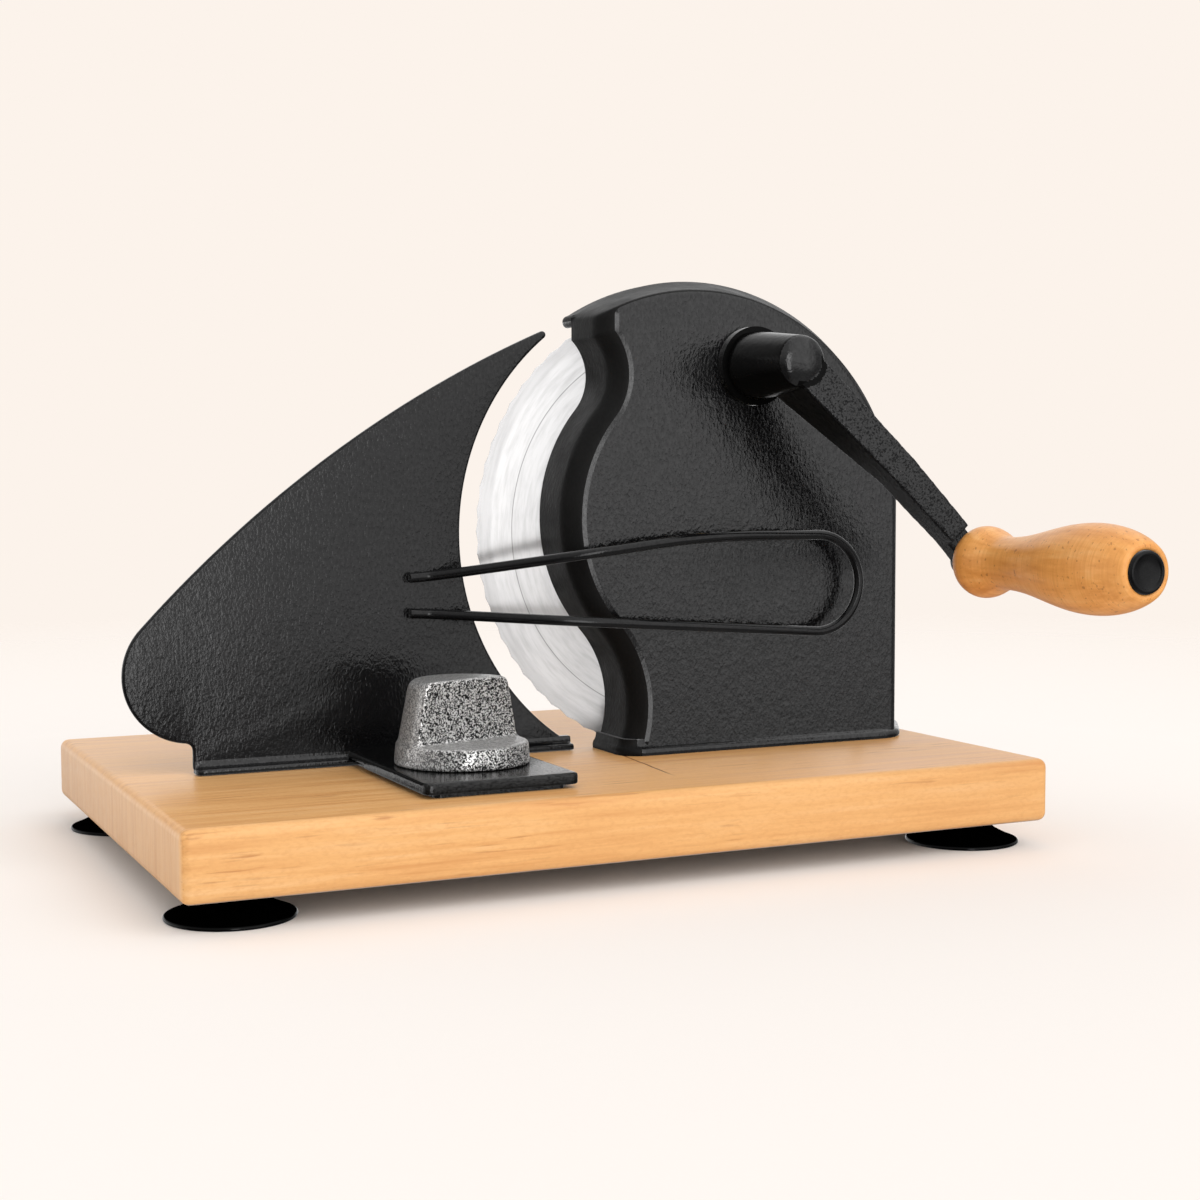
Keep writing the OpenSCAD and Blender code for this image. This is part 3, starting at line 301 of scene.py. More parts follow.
def board_material():
    """Oiled beech with the grain along X: soft streaks, short dark pores and upright lines on the ends."""
    mat, tree, shader = new_material("board_wood")
    coord = object_point(tree)
    cloud_point = object_point(tree, 0.22, 1.0, 1.0)
    streak = noise(tree, object_point(tree, 0.045, 1.0, 1.0), 300.0, 4.0, 0.6)
    cloud = noise(tree, cloud_point, 30.0, 3.0, 0.55, 0.5)
    fine = noise(tree, object_point(tree, 0.4, 1.0, 1.0), 1100.0, 2.0, 0.6)
    pore = noise(tree, object_point(tree, 0.07, 1.0, 1.0), 700.0, 1.0, 0.5)
    pore_mask = noise(tree, cloud_point, 55.0, 2.0, 0.5)
    upright = noise(tree, object_point(tree, 1.0, 1.0, 0.06), 330.0, 3.0, 0.6)
    tone = ramp(tree, streak, (0.28, BOARD_DEEP), (0.52, BOARD_MID), (0.78, BOARD_PALE))
    tone = mix(tree, span(tree, cloud, 0.35, 0.7, 0.0, 0.55), tone, BOARD_MID)
    tone = mix(tree, span(tree, fine, 0.45, 0.7, 0.0, 0.34), tone, BOARD_DEEP)
    dark = times(tree, span(tree, pore, 0.60, 0.72, 0.0, 1.0), span(tree, pore_mask, 0.46, 0.62, 0.0, 0.5))
    tone = mix(tree, dark, tone, BOARD_PORE)
    # The sawn ends have faint upright lines and are painted paler, as a painted sheen and painted light on
    # the end faces
    facing = split(tree, add(tree, "NewGeometry").outputs["Normal"])
    side = math_node(tree, "ABSOLUTE", facing["X"])
    ends = ramp(tree, upright, (0.3, BOARD_END_DEEP_SHEEN), (0.6, BOARD_END_PALE_SHEEN))
    tone = mix(tree, span(tree, side, 0.75, 0.95, 0.0, 1.0), tone, ends)
    # A fine crack crosses the slice side of the board beside the housing
    spot = split(tree, coord)
    crack_x, crack_y, _ = placed(CRACK_X, CRACK_Y, 0.0)
    ahead = math_node(tree, "SUBTRACT", crack_y, spot["Y"])
    line_x = math_node(tree, "MULTIPLY_ADD", ahead, CRACK_LEAN, crack_x)
    wobble = noise(tree, coord, 120.0, 2.0, 0.5)
    line_x = math_node(tree, "MULTIPLY_ADD", wobble, 0.0012, line_x)
    off = math_node(tree, "ABSOLUTE", math_node(tree, "SUBTRACT", spot["X"], line_x))
    length = times(tree, span(tree, ahead, 0.0, 0.004, 0.0, 1.0), span(tree, ahead, 0.05, 0.064, 1.0, 0.0))
    crack = times(tree, span(tree, off, 0.00016, 0.0007, 1.0, 0.0), length)
    tone = mix(tree, crack, tone, BOARD_CRACK)
    # The underside is bare and greyer
    tone = mix(tree, span(tree, facing["Z"], -0.95, -0.75, 1.0, 0.0), tone, BOARD_UNDER)
    put(tree, shader, "Base Color", tone)
    put(tree, shader, "Roughness", span(tree, streak, 0.3, 0.7, 0.30, 0.40))
    grain = math_node(tree, "MULTIPLY_ADD", dark, -0.8, streak)
    grain = math_node(tree, "MULTIPLY_ADD", crack, -2.0, grain)
    put(tree, shader, "Normal", bump(tree, grain, 0.00008))
    put(tree, shader, "Specular IOR Level", 0.35)
    return mat


def grip_material():
    """Turned beech: faint rings round the axis and small brown flecks along it."""
    mat, tree, shader = new_material("grip_wood")
    streak = noise(tree, object_point(tree, 1.0, 0.10, 1.0), 260.0, 3.0, 0.6)
    turning = noise(tree, object_point(tree, 0.03, 1.0, 0.03), 1100.0, 3.0, 0.7)
    cloud = noise(tree, object_point(tree), 55.0, 3.0, 0.55)
    fleck = noise(tree, object_point(tree, 1.0, 0.75, 0.55), 880.0, 1.0, 0.5)
    tone = ramp(tree, streak, (0.3, GRIP_DEEP), (0.55, GRIP_MID), (0.75, GRIP_PALE))
    tone = mix(tree, span(tree, cloud, 0.35, 0.7, 0.0, 0.5), tone, GRIP_MID)
    tone = mix(tree, span(tree, turning, 0.40, 0.66, 0.0, 0.5), tone, GRIP_DEEP)
    dark = span(tree, fleck, 0.66, 0.74, 0.0, 0.55)
    put(tree, shader, "Base Color", mix(tree, dark, tone, GRIP_FLECK))
    put(tree, shader, "Roughness", span(tree, turning, 0.3, 0.7, 0.28, 0.40))
    height = math_node(tree, "MULTIPLY_ADD", dark, -0.5, turning)
    put(tree, shader, "Normal", bump(tree, height, 0.00006))
    return mat


def blade_material():
    """Steel brushed in circles about the blade's axis, with one fine turned line."""
    mat, tree, shader = new_material("blade_steel")
    axis_x, _, axis_z = placed(BLADE_X, 0.0, BLADE_Z)
    spot = split(tree, object_point(tree))
    dx = math_node(tree, "SUBTRACT", spot["X"], axis_x)
    dz = math_node(tree, "SUBTRACT", spot["Z"], axis_z)
    radius = math_node(tree, "SQRT", math_node(tree, "ADD", times(tree, dx, dx), times(tree, dz, dz)))
    turn_x = math_node(tree, "DIVIDE", dx, radius)
    turn_z = math_node(tree, "DIVIDE", dz, radius)

    def rings(per_metre, along):
        place = {"X": times(tree, radius, per_metre), "Y": times(tree, turn_x, along),
                 "Z": times(tree, turn_z, along)}
        return add(tree, "CombineXYZ", place).outputs[0]

    lines = noise(tree, rings(2400.0, 3.0), 1.0, 2.0, 0.6)
    bands = noise(tree, rings(520.0, 5.0), 1.0, 3.0, 0.65)
    tone = ramp(tree, bands, (0.30, BLADE_DIM), (0.58, BLADE_BRIGHT))
    off = math_node(tree, "ABSOLUTE", math_node(tree, "SUBTRACT", radius, GROOVE_R * MM))
    groove = span(tree, off, 0.00008, 0.00028, 1.0, 0.0)
    tone = mix(tree, times(tree, groove, 0.7), tone, BLADE_LINE)
    ground = span(tree, radius, GROUND_START_R * MM, GROUND_END_R * MM, 0.0, 0.35)
    put(tree, shader, "Base Color", mix(tree, ground, tone, BLADE_GROUND))
    put(tree, shader, "Roughness", span(tree, lines, 0.25, 0.75, 0.17, 0.27))
    put(tree, shader, "Normal", bump(tree, lines, 0.000008))
    put(tree, shader, "Metallic", 0.7)
    put(tree, shader, "Anisotropic", 0.75)
    put(tree, shader, "Anisotropic Rotation", 0.25)
    put(tree, shader, "Tangent", add(tree, "Tangent", direction_type="RADIAL", axis="Y").outputs[0])
    return mat


def knob_material():
    """Cast knob with a wrinkled silver coat; the bright worms and the dark valleys between them are painted
    highlight and painted shade.
    """
    mat, tree, shader = new_material("knob_casting")
    point = object_point(tree)
    worm = noise(tree, point, 1080.0, 0.0, 0.5, 1.6)
    ripple = noise(tree, point, 2300.0, 0.0, 0.5)
    height = math_node(tree, "MULTIPLY_ADD", ripple, 0.3, worm)
    ridge = span(tree, height, 0.60, 0.69, 0.0, 1.0)
    put(tree, shader, "Normal", bump(tree, ridge, 0.0003))
    # Painted shade in the valleys and painted highlight on the ridges
    tone = ramp(tree, ridge, (0.1, KNOB_VALLEY_SHADE), (0.5, KNOB_MID), (0.9, KNOB_RIDGE_HIGHLIGHT))
    # Painted light: the top and the left side get an even, lighter tone in place of the wrinkles' painted
    # highlight and shade
    facing = split(tree, add(tree, "NewGeometry").outputs["Normal"])
    even_light = math_node(tree, "MAXIMUM", span(tree, facing["Z"], 0.35, 0.8, 0.0, 0.62),
                     span(tree, facing["X"], -0.85, -0.5, 0.48, 0.0))
    put(tree, shader, "Base Color", mix(tree, even_light, tone, KNOB_EVEN_LIGHT))
    put(tree, shader, "Roughness", span(tree, ridge, 0.0, 1.0, 0.42, 0.28))
    put(tree, shader, "Metallic", 0.7)
    return mat


def rubber_material():
    mat, tree, shader = new_material("foot_rubber")
    soft = noise(tree, object_point(tree), 160.0, 3.0, 0.5)
    put(tree, shader, "Base Color", mix(tree, soft, RUBBER_DEEP, RUBBER_PALE))
    put(tree, shader, "Roughness", span(tree, soft, 0.3, 0.7, 0.10, 0.16))
    put(tree, shader, "Normal", bump(tree, soft, 0.00003))
    # Only the thin lip on the floor has a shine
    height = split(tree, object_point(tree))["Z"]
    put(tree, shader, "Specular IOR Level", span(tree, height, 0.0008, 0.0014, 0.25, 0.0))
    return mat


def plain_material(name, colour, rough, metallic, scale, specular=0.5):
    """Metal or plastic with faint wear."""
    mat, tree, shader = new_material(name)
    wear = noise(tree, object_point(tree), scale, 3.0, 0.6)
    dim = tuple(v * 0.8 for v in colour)
    put(tree, shader, "Base Color", mix(tree, wear, dim, colour))
    put(tree, shader, "Roughness", span(tree, wear, 0.3, 0.7, rough * 0.8, rough * 1.25))
    put(tree, shader, "Normal", bump(tree, wear, 0.00002))
    put(tree, shader, "Metallic", metallic)
    put(tree, shader, "Specular IOR Level", specular)
    return mat


# The coats' numbers are grain, depth, roughness, upright stretch and specular level
MAT = {
    "coat": coat_material("black_coat", 0.0011, 0.00020, 0.06, 0.6, 0.65),
    "fence": coat_material("black_coat_fence", 0.0011, 0.00020, 0.07, 0.6, 0.46),
    "wall": coat_material("black_coat_wall", 0.0012, 0.00010, 0.42, 0.55, 0.08, WALL_BLACK),
    "speckled": coat_material("black_coat_speckled", 0.0009, 0.00024, 0.14, 1.0, 0.6, specks=0.75),
    "edge": coat_material("black_coat_edge", 0.0010, 0.00006, 0.19, 0.6, 0.66),
    "slide": coat_material("black_coat_slide", 0.0010, 0.00009, 0.07, 1.0, 0.55, SLIDE_BLACK, 0.6),
    "hub": coat_material("black_coat_hub", 0.0016, 0.00010, 0.12, 1.0, 0.06, HUB_BLACK),
    "dome": coat_material("black_coat_dome", 0.0020, 0.00016, 0.16, 1.0, 0.65),
    "wire": coat_material("black_coat_wire", 0.0010, 0.00004, 0.12, 1.0, 0.4),
    "board": board_material(),
    "grip": grip_material(),
    "blade": blade_material(),
    "knob": knob_material(),
    "rubber": rubber_material(),
    "plug": plain_material("plug_plastic", PLUG_BLACK, 0.30, 0.0, 900.0, 0.28),
    "steel": plain_material("bright_steel", STEEL, 0.28, 1.0, 700.0),
    "bronze": plain_material("bronze", BRONZE, 0.34, 1.0, 700.0),
    "nylon": plain_material("gear_nylon", NYLON, 0.45, 0.0, 400.0),
}


# Mesh helpers

def linked(name, data):
    """A new object in the scene."""
    obj = bpy.data.objects.new(name, data)
    bpy.context.scene.collection.objects.link(obj)
    return obj


def solid(name, points, faces):
    """An object from points in millimetres; points that fall together are merged."""
    mesh = bpy.data.meshes.new(name)
    mesh.from_pydata([placed(*point) for point in points], [], faces)
    work = bmesh.new()
    work.from_mesh(mesh)
    bmesh.ops.remove_doubles(work, verts=work.verts, dist=1e-6)
    bmesh.ops.triangulate(work, faces=[face for face in work.faces if len(face.verts) > 4])
    bmesh.ops.recalc_face_normals(work, faces=work.faces)
    work.to_mesh(mesh)
    work.free()
    return linked(name, mesh)


def dress(obj, body, replaced, material, sharp):
    """Lets a mesh ride on a body and stand for CAD nodes; edges above the sharp angle stay hard."""
    mesh = obj.data
    mesh.shade_smooth()
    mesh.set_sharp_from_angle(angle=math.radians(sharp))
    mesh.materials.clear()
    mesh.materials.append(material)
    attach(obj, body)
    if replaced:
        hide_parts(*replaced)


def piece(name, shape, body, replaced, material, sharp):
    obj = solid(name, *shape)
    dress(obj, body, replaced, material, sharp)
    return obj


def skin(rings, closed=False):
    """Points and faces over rings of points. A closed skin joins its ends, an open one has end faces."""
    count = len(rings[0])
    points = [point for ring in rings for point in ring]
    starts = [count * i for i in range(len(rings))]
    faces = []
    for low, high in zip(starts, starts[1:] + starts[:1] if closed else starts[1:]):
        for k in range(count):
            n = (k + 1) % count
            faces.append((low + k, low + n, high + n, high + k))
    if not closed:
        faces.append(tuple(range(count)))
        faces.append(tuple(range(starts[-1], starts[-1] + count)))
    return points, faces


def turned(profile, sides, place):
    """Rings of a turned shape; place maps (radius, angle, height) to a point."""
    return [[place(r, 2 * math.pi * k / sides, h) for k in range(sides)] for r, h in profile]


def along_y(cx, y0, cz):
    """Axis along Y that starts at y0 and runs to the front."""
    return lambda r, a, h: (cx + r * math.cos(a), y0 - h, cz + r * math.sin(a))


def along_z(cx, cy, z0):
    return lambda r, a, h: (cx + r * math.cos(a), cy + r * math.sin(a), z0 + h)


def smooth_line(points, passes):
    """Corner cutting that keeps the two ends."""
    for _ in range(passes):
        out = [points[0]]
        for a, b in zip(points, points[1:]):
            a = Vector(a)
            b = Vector(b)
            out.append(tuple(a * 0.75 + b * 0.25))
            out.append(tuple(a * 0.25 + b * 0.75))
        out.append(points[-1])
        points = out
    return points


def bend(first, middle, last, steps):
    """Points of a curve from first to last that is drawn towards middle."""
    out = []
    for i in range(steps + 1):
        t = i / steps
        p = first * (1 - t) ** 2 + middle * 2 * t * (1 - t) + last * t ** 2
        out.append((p.x, p.y))
    return out


def round_profile(corners, radius, steps):
    """Open chain of corners with every inner corner rounded."""
    out = [corners[0]]
    for before, here, after in zip(corners, corners[1:], corners[2:]):
        corner = Vector(here)
        to_before = Vector(before) - corner
        to_after = Vector(after) - corner
        reach = min(radius, to_before.length * 0.45, to_after.length * 0.45)
        out += bend(corner + to_before.normalized() * reach, corner,
                    corner + to_after.normalized() * reach, steps)
    out.append(corners[-1])
    return out


def rounded_block(name, low, high, r, segments):
    """A block between two corners with rounded edges, in millimetres."""
    work = bmesh.new()
    bmesh.ops.create_cube(work, size=1.0)
    size = [(b - a) * MM for a, b in zip(low, high)]
    middle = placed(*[(a + b) / 2 for a, b in zip(low, high)])
    bmesh.ops.scale(work, vec=size, verts=work.verts)
    bmesh.ops.translate(work, vec=middle, verts=work.verts)
    bmesh.ops.bevel(work, geom=work.edges[:], offset=r * MM, segments=segments, profile=0.5,
                    affect="EDGES", clamp_overlap=True)
    mesh = bpy.data.meshes.new(name)
    work.to_mesh(mesh)
    work.free()
    return linked(name, mesh)


def baked(obj):
    """Replaces the mesh by what its modifiers give, and removes them."""
    bpy.context.view_layer.update()
    graph = bpy.context.evaluated_depsgraph_get()
    graph.update()
    mesh = bpy.data.meshes.new_from_object(obj.evaluated_get(graph))
    obj.modifiers.clear()
    obj.data = mesh


# Board

def make_board():
    board = rounded_block("board", (-BOARD_L / 2, -BOARD_D / 2, 0.0), (BOARD_L / 2, BOARD_D / 2, BOARD_T),
                          BOARD_ROUND, 6)
    slot = [(0.0, 0.0), (BLADE_CLEAR_R, 0.0), (BLADE_CLEAR_R, SLOT_W), (0.0, SLOT_W)]
    stud = [(0.0, -1.0), (STUD_R, -1.0), (STUD_R, STUD_DEEP), (0.0, STUD_DEEP)]
    cuts = (turned(slot, 240, along_y(BLADE_X, SLOT_BACK, BLADE_Z)),
            turned(stud, 48, along_z(KNOB_X, KNOB_Y, 0.0)))
    cutters = []
    for rings in cuts:
        cutter = solid("cutter", *skin(rings))
        modifier = board.modifiers.new("cut", "BOOLEAN")
        modifier.operation = "DIFFERENCE"
        modifier.solver = "EXACT"
        modifier.object = cutter
        cutters.append(cutter)
    baked(board)
    for cutter in cutters:
        bpy.data.objects.remove(cutter)
    dress(board, "base", ["base_board"], MAT["board"], 50.0)
    # The wood stays out of reflections, which keeps the black coat neutral
    board.visible_glossy = False


make_board()


# Housing

def roof_angle(x, cx, r):
    return math.degrees(math.acos((x - cx) / r))


FRONT_CUT = roof_angle(RIGHT_FRONT, HOOD_FRONT_X, HOOD_FRONT_R)


def s_points(inset):
    """The curved left edge from the foot up to the lip, drawn in by inset."""
    waist = WAIST_R + inset
    low = math.degrees(math.asin((TOP - WAIST_Z) / waist))
    points = arc(WAIST_X, WAIST_Z, waist, low, WAIST_DIR - 180.0, WAIST_STEPS)[:-1]
    points += arc(BULGE_X, BULGE_Z, BULGE_R - inset, WAIST_DIR, NECK_DIR, BULGE_STEPS)[:-1]
    neck = NECK_R + inset
    end = math.degrees(math.acos((LIP_X + inset - NECK_X) / neck))
    return points + arc(NECK_X, NECK_Z, neck, NECK_DIR - 180.0, end, NECK_STEPS - 1)


def roof_points(y, inset, lip_inset):
    """The lip, the roof and the right wall at depth y, drawn in by inset."""
    s = max(0.0, min(1.0, (S_BACK - y) / (S_BACK - FRONT_Y)))
    cx = HOOD_X + (HOOD_FRONT_X - HOOD_X) * s
    cz = HOOD_Z + (HOOD_FRONT_Z - HOOD_Z) * s
    r = HOOD_R + (HOOD_FRONT_R - HOOD_R) * s
    lip = LIP_X + lip_inset
    top_angle = roof_angle(lip, cx, r - inset)
    points = []
    neck = NECK_R + lip_inset
    neck_end = NECK_Z + math.sqrt(neck ** 2 - (lip - NECK_X) ** 2)
    lip_top = cz + (r - inset) * math.sin(math.radians(top_angle))
    for i in range(1, LIP_STEPS + 1):
        points.append((lip, neck_end + (lip_top - neck_end) * i / (LIP_STEPS + 1)))

    def at(angle):
        ax, az = polar(HOOD_X, HOOD_Z, HOOD_R - inset, angle)
        bx, bz = polar(HOOD_FRONT_X, HOOD_FRONT_Z, HOOD_FRONT_R, max(angle, FRONT_CUT))
        pull = inset / HOOD_FRONT_R
        bx = bx + (HOOD_FRONT_X - bx) * pull if angle > FRONT_CUT else bx - inset
        bz = bz + (HOOD_FRONT_Z - bz) * pull
        return ax + (bx - ax) * s, az + (bz - az) * s

    for i in range(ROOF_STEPS):
        points.append(at(top_angle + (FRONT_CUT - top_angle) * i / ROOF_STEPS))
    for i in range(SHOULDER_STEPS):
        points.append(at(FRONT_CUT * (1 - i / SHOULDER_STEPS)))
    x_end, z_end = at(0.0)
    for i in range(WALL_STEPS):
        points.append((x_end, z_end + (TOP - z_end) * i / (WALL_STEPS - 1)))
    return points


def eased(points, first, last, passes):
    """Rounds the corners between two indices of an open chain by averaging neighbours."""
    for _ in range(passes):
        moved = list(points)
        for i in range(first, last):
            (ax, az), (bx, bz), (cx, cz) = points[i - 1], points[i], points[i + 1]
            moved[i] = (0.25 * ax + 0.5 * bx + 0.25 * cx, 0.25 * az + 0.5 * bz + 0.25 * cz)
        points = moved
    return points


def full_ring(y, s_inset, roof_inset):
    """The whole outline at depth y, with the corner between lip and roof rounded in front of the blade."""
    chain = s_points(s_inset) + roof_points(y, roof_inset, s_inset)
    corner = S_COUNT + LIP_STEPS
    return eased(chain, corner - 3, corner + 3, 0 if y > S_BACK - 1.0 else 2)


def edge_rows():
    """Insets and depths of the curved edge from the blade to the front: straight, round, then the facet."""
    tilt = math.radians(FACET_TILT)
    bend_r = (FRONT_ROUND - FACET_W * math.cos(tilt)) / (1 - math.sin(tilt))
    bend_y = FRONT_Y + FACET_W * math.sin(tilt) + bend_r * math.cos(tilt)
    start = S_BACK - BACK_ROUND
    straight_steps = 9
    round_steps = 12
    rows = [(0.0, start + (bend_y - start) * i / straight_steps) for i in range(1, straight_steps)]
    for i in range(round_steps + 1):
        a = (math.pi / 2 - tilt) * i / round_steps
        rows.append((bend_r * (1 - math.cos(a)), bend_y - bend_r * math.sin(a)))
    facet_s, facet_y = rows[-1]
    for t in (0.07, 0.93, 1.0):
        rows.append((facet_s + (FRONT_ROUND - facet_s) * t, facet_y + (FRONT_Y - facet_y) * t))
    return rows


def make_housing():
    points = []
    faces = []
    count = S_COUNT + ROOF_COUNT
    band_count = ROOF_COUNT + 1
    lip_points = LIP_STEPS + 1

    def put_ring(y, chain):
        points.extend((x, y, z) for x, z in chain)
        return len(points) - len(chain)

    def join(rings, n):
        for first, second in zip(rings, rings[1:]):
            for k in range(n - 1):
                faces.append((first + k, first + k + 1, second + k + 1, second + k))

    # Rear band: roof and right wall only, with a rounded rim and a round nose at the lip
    band = []
    nose_low = BLADE_Z + math.sqrt(BLADE_CLEAR_R ** 2 - (BLADE_X - LIP_X - LIP_NOSE_R) ** 2)
    nose_top = HOOD_Z + math.sqrt(HOOD_R ** 2 - (HOOD_X - LIP_X - LIP_NOSE_R) ** 2)
    nose_mid = (nose_low + nose_top) / 2
    for y, inset in ((0.0, 0.7), (-0.2, 0.28), (-0.7, 0.0), (-4.0, 0.0), (S_BACK, 0.0)):
        ring = full_ring(y, 0.0, inset)[S_COUNT - 1:]
        wide = LIP_NOSE_R - inset * 0.5
        high = (nose_top - nose_low) / 2 - inset * 0.5
        for k in range(lip_points + 1):
            a = math.radians(-90.0 - LIP_NOSE_TURN * k / lip_points)
            ring[k] = (LIP_X + LIP_NOSE_R + wide * math.cos(a), nose_mid + high * math.sin(a))
        band.append(put_ring(y, ring))
    join(band, band_count)
    faces.append(tuple(band[-1] + k for k in range(lip_points + 2)))

    # Outer skin from the blade to the front, with the rounded front edge
    outer = [put_ring(S_BACK, full_ring(S_BACK, BACK_ROUND, 0.0)),
             put_ring(S_BACK - BACK_ROUND, full_ring(S_BACK - BACK_ROUND, 0.0, 0.0))]
    for s_inset, y in edge_rows():
        depth = max(0.0, (FRONT_Y + ROOF_ROUND - y) / ROOF_ROUND)
        roof_inset = ROOF_ROUND * (1 - math.sqrt(max(0.0, 1 - depth ** 2)))
        outer.append(put_ring(y, full_ring(y, s_inset, roof_inset)))
    outer.append(put_ring(FRONT_Y, full_ring(FRONT_Y, FRONT_ROUND + 0.2, ROOF_ROUND + 0.6)))
    join(outer, count)
    faces.append(tuple(range(outer[-1], outer[-1] + count)))

    # Inner skin and inner front wall
    inner = [put_ring(y, full_ring(y, WALL, WALL)) for y in (S_BACK, -20.0, INNER_Y)]
    join(inner, count)
    faces.append(tuple(range(inner[-1], inner[-1] + count)))
    rim_inner = []
    for y in (0.0, S_BACK):
        ring = full_ring(y, WALL, WALL)[S_COUNT - 1:]
        for k in range(lip_points):
            ring[k] = (LIP_X + WALL, LIP_INSIDE_Z + 0.09 * k)
        rim_inner.append(put_ring(y, ring))
    join(rim_inner, band_count)

    # Rim face, rear edge of the curved wall and the end of the roof
    join((band[0], rim_inner[0]), band_count)
    join((outer[0], inner[0]), S_COUNT + lip_points)
    faces.append((band[0], band[-1], rim_inner[1], rim_inner[0]))
    cover = piece("housing_cover", (points, faces), "base", ["housing"], MAT["coat"], 42.0)
    # The hollow side of the curved wall and the roof have a duller skin than the front
    cover.data.materials.append(MAT["wall"])
    cover.data.materials.append(MAT["edge"])
    edge = [Vector(point) for point in s_points(0.0) + roof_points(FRONT_Y, 0.0, 0.0)[:LIP_STEPS]]
    for face in cover.data.polygons:
        spot = drawn(face.center)
        flat = Vector((spot.x, spot.z))
        gap = min((flat - point).length for point in edge)
        if FRONT_Y + 0.02 < spot.y < S_BACK + 0.1 and gap < FRONT_ROUND + 0.1:
            on_facet = spot.y < FRONT_Y + FACET_DEPTH and FACET_START_Z < spot.z < FACET_END_Z
            face.material_index = 2 if on_facet else 1
        elif max(face.normal.x, face.normal.z) > 0.05 and abs(face.normal.y) < 0.8:
            face.material_index = 1
    # The blade shows the bright room, not the black wall beside it
    cover.visible_glossy = False


make_housing()


def make_bead():
    """Rounded foot bead round the housing's left, front and right sides."""
    foot_left = WAIST_X + math.sqrt(WAIST_R ** 2 - (WAIST_Z - TOP) ** 2)
    path = [(foot_left, S_BACK), (foot_left, FRONT_Y), (RIGHT_FRONT, FRONT_Y), (RIGHT_BACK, S_BACK),
            (RIGHT_BACK, -0.3)]
    rounded = round_profile(path, FRONT_ROUND, 12)
    # Reach out from the wall and height above the board
    profile = [(-4.5, 0.0), (1.9, 0.0), (2.3, 0.5), (2.5, 1.2), (2.4, 1.9), (2.0, 2.6), (1.4, 3.1),
               (0.7, 3.4), (0.1, 3.8), (-0.3, 4.5), (-0.5, 5.5), (-0.6, 6.5), (-4.5, 6.5)]
    rings = []
    for i, (x, y) in enumerate(rounded):
        a = Vector(rounded[max(i - 1, 0)])
        b = Vector(rounded[min(i + 1, len(rounded) - 1)])
        t = (b - a).normalized()
        # The bead is slimmer on the left side and grows round the corner
        share = LEFT_BEAD + (1 - LEFT_BEAD) * min(1.0, (x - foot_left) / FRONT_ROUND)
        ring = []
        for out, up in profile:
            out *= share if out > 0 else 1.0
            ring.append((x + t.y * out, y - t.x * out, TOP + up))
        rings.append(ring)
    bead = piece("housing_bead", skin(rings), "base", None, MAT["coat"], 50.0)
    bead.data.materials.append(MAT["wall"])
    for face in bead.data.polygons:
        if drawn(face.center).x < foot_left + 6.0:
            face.material_index = 1


make_bead()


# Blade

def make_blade():
    sides = TEETH * TOOTH_STEPS

    def ring(radius, height, scalloped):
        out = []
        for k in range(sides):
            a = 2 * math.pi * k / sides
            phase = (k % TOOTH_STEPS) / TOOTH_STEPS
            r = radius - (TOOTH_DEPTH * (1 - abs(2 * phase - 1)) ** 0.8 if scalloped else 0.0)
            out.append((BLADE_X + r * math.cos(a), BLADE_BACK - height, BLADE_Z + r * math.sin(a)))
        return out

    thick = BLADE_BACK - BLADE_FRONT
    rings = [ring(BLADE_HOLE_R, 0.05, False), ring(BEVEL_R, 0.05, False), ring(BLADE_R, thick - 0.3, True),
             ring(BLADE_R, thick, True), ring(FLAT_R, thick, False), ring(MIDDLE_R, thick, False),
             ring(BLADE_HOLE_R, thick, False)]
    piece("blade_disc", skin(rings, True), "blade_set", ["blade"], MAT["blade"], 25.0)


make_blade()


# Fence

def fence_chain():
    """Outline of the fence, counter-clockwise from the foot's left corner."""
    corner = FENCE_FOOT_ROUND
    points = arc(NOSE_X + corner, FENCE_FOOT_Z + corner, corner, 180.0, 270.0, 6)
    points.append((FENCE_RIGHT, FENCE_FOOT_Z))
    start = 360.0 - math.degrees(math.acos((FENCE_RIGHT - BLADE_X) / EDGE_R))
    # The tip is a small round between the inner edge and the long upper edge
    away = Vector((ARC_X - BLADE_X, ARC_Z - EDGE_Z))
    along = ((EDGE_R + TIP_R) ** 2 - (ARC_R - TIP_R) ** 2 + away.length ** 2) / (2 * away.length)
    across = math.sqrt((EDGE_R + TIP_R) ** 2 - along ** 2)
    unit = away.normalized()
    tip_x = BLADE_X + along * unit.x + across * unit.y
    tip_z = EDGE_Z + along * unit.y - across * unit.x
    inner_stop = math.degrees(math.atan2(tip_z - EDGE_Z, tip_x - BLADE_X))
    points += arc(BLADE_X, EDGE_Z, EDGE_R, start, inner_stop, 60)
    arc_start = math.degrees(math.atan2(tip_z - ARC_Z, tip_x - ARC_X))
    arc_stop = ARC_DIR + 180.0
    points += arc(tip_x, tip_z, TIP_R, inner_stop - 180.0, arc_start, 10)[1:-1]
    points += arc(ARC_X, ARC_Z, ARC_R, arc_start, arc_stop, 70)
    points += arc(NOSE_X, NOSE_Z, NOSE_R, arc_stop, NOSE_STOP, 39)[1:]
    # A small hollow joins the nose to the upright end of the foot
    below = NOSE_Z - NOSE_R
    hollow = bend(Vector(points[-1]), Vector((NOSE_X, below + 0.05)), Vector((NOSE_X, below - 3.0)), 6)
    return points + hollow[1:]


def inward(points, distance):
    """Closed outline moved inwards along the corners' bisectors."""
    out = []
    for i, here in enumerate(points):
        b = Vector(here)
        u = (b - Vector(points[i - 1])).normalized()
        v = (Vector(points[(i + 1) % len(points)]) - b).normalized()
        side = Vector((-u.y, u.x))
        middle = (side + Vector((-v.y, v.x))).normalized()
        grow = min(2.5, 1.0 / max(0.2, middle.dot(side)))
        p = b + middle * distance * grow
        out.append((p.x, p.y))
    return out


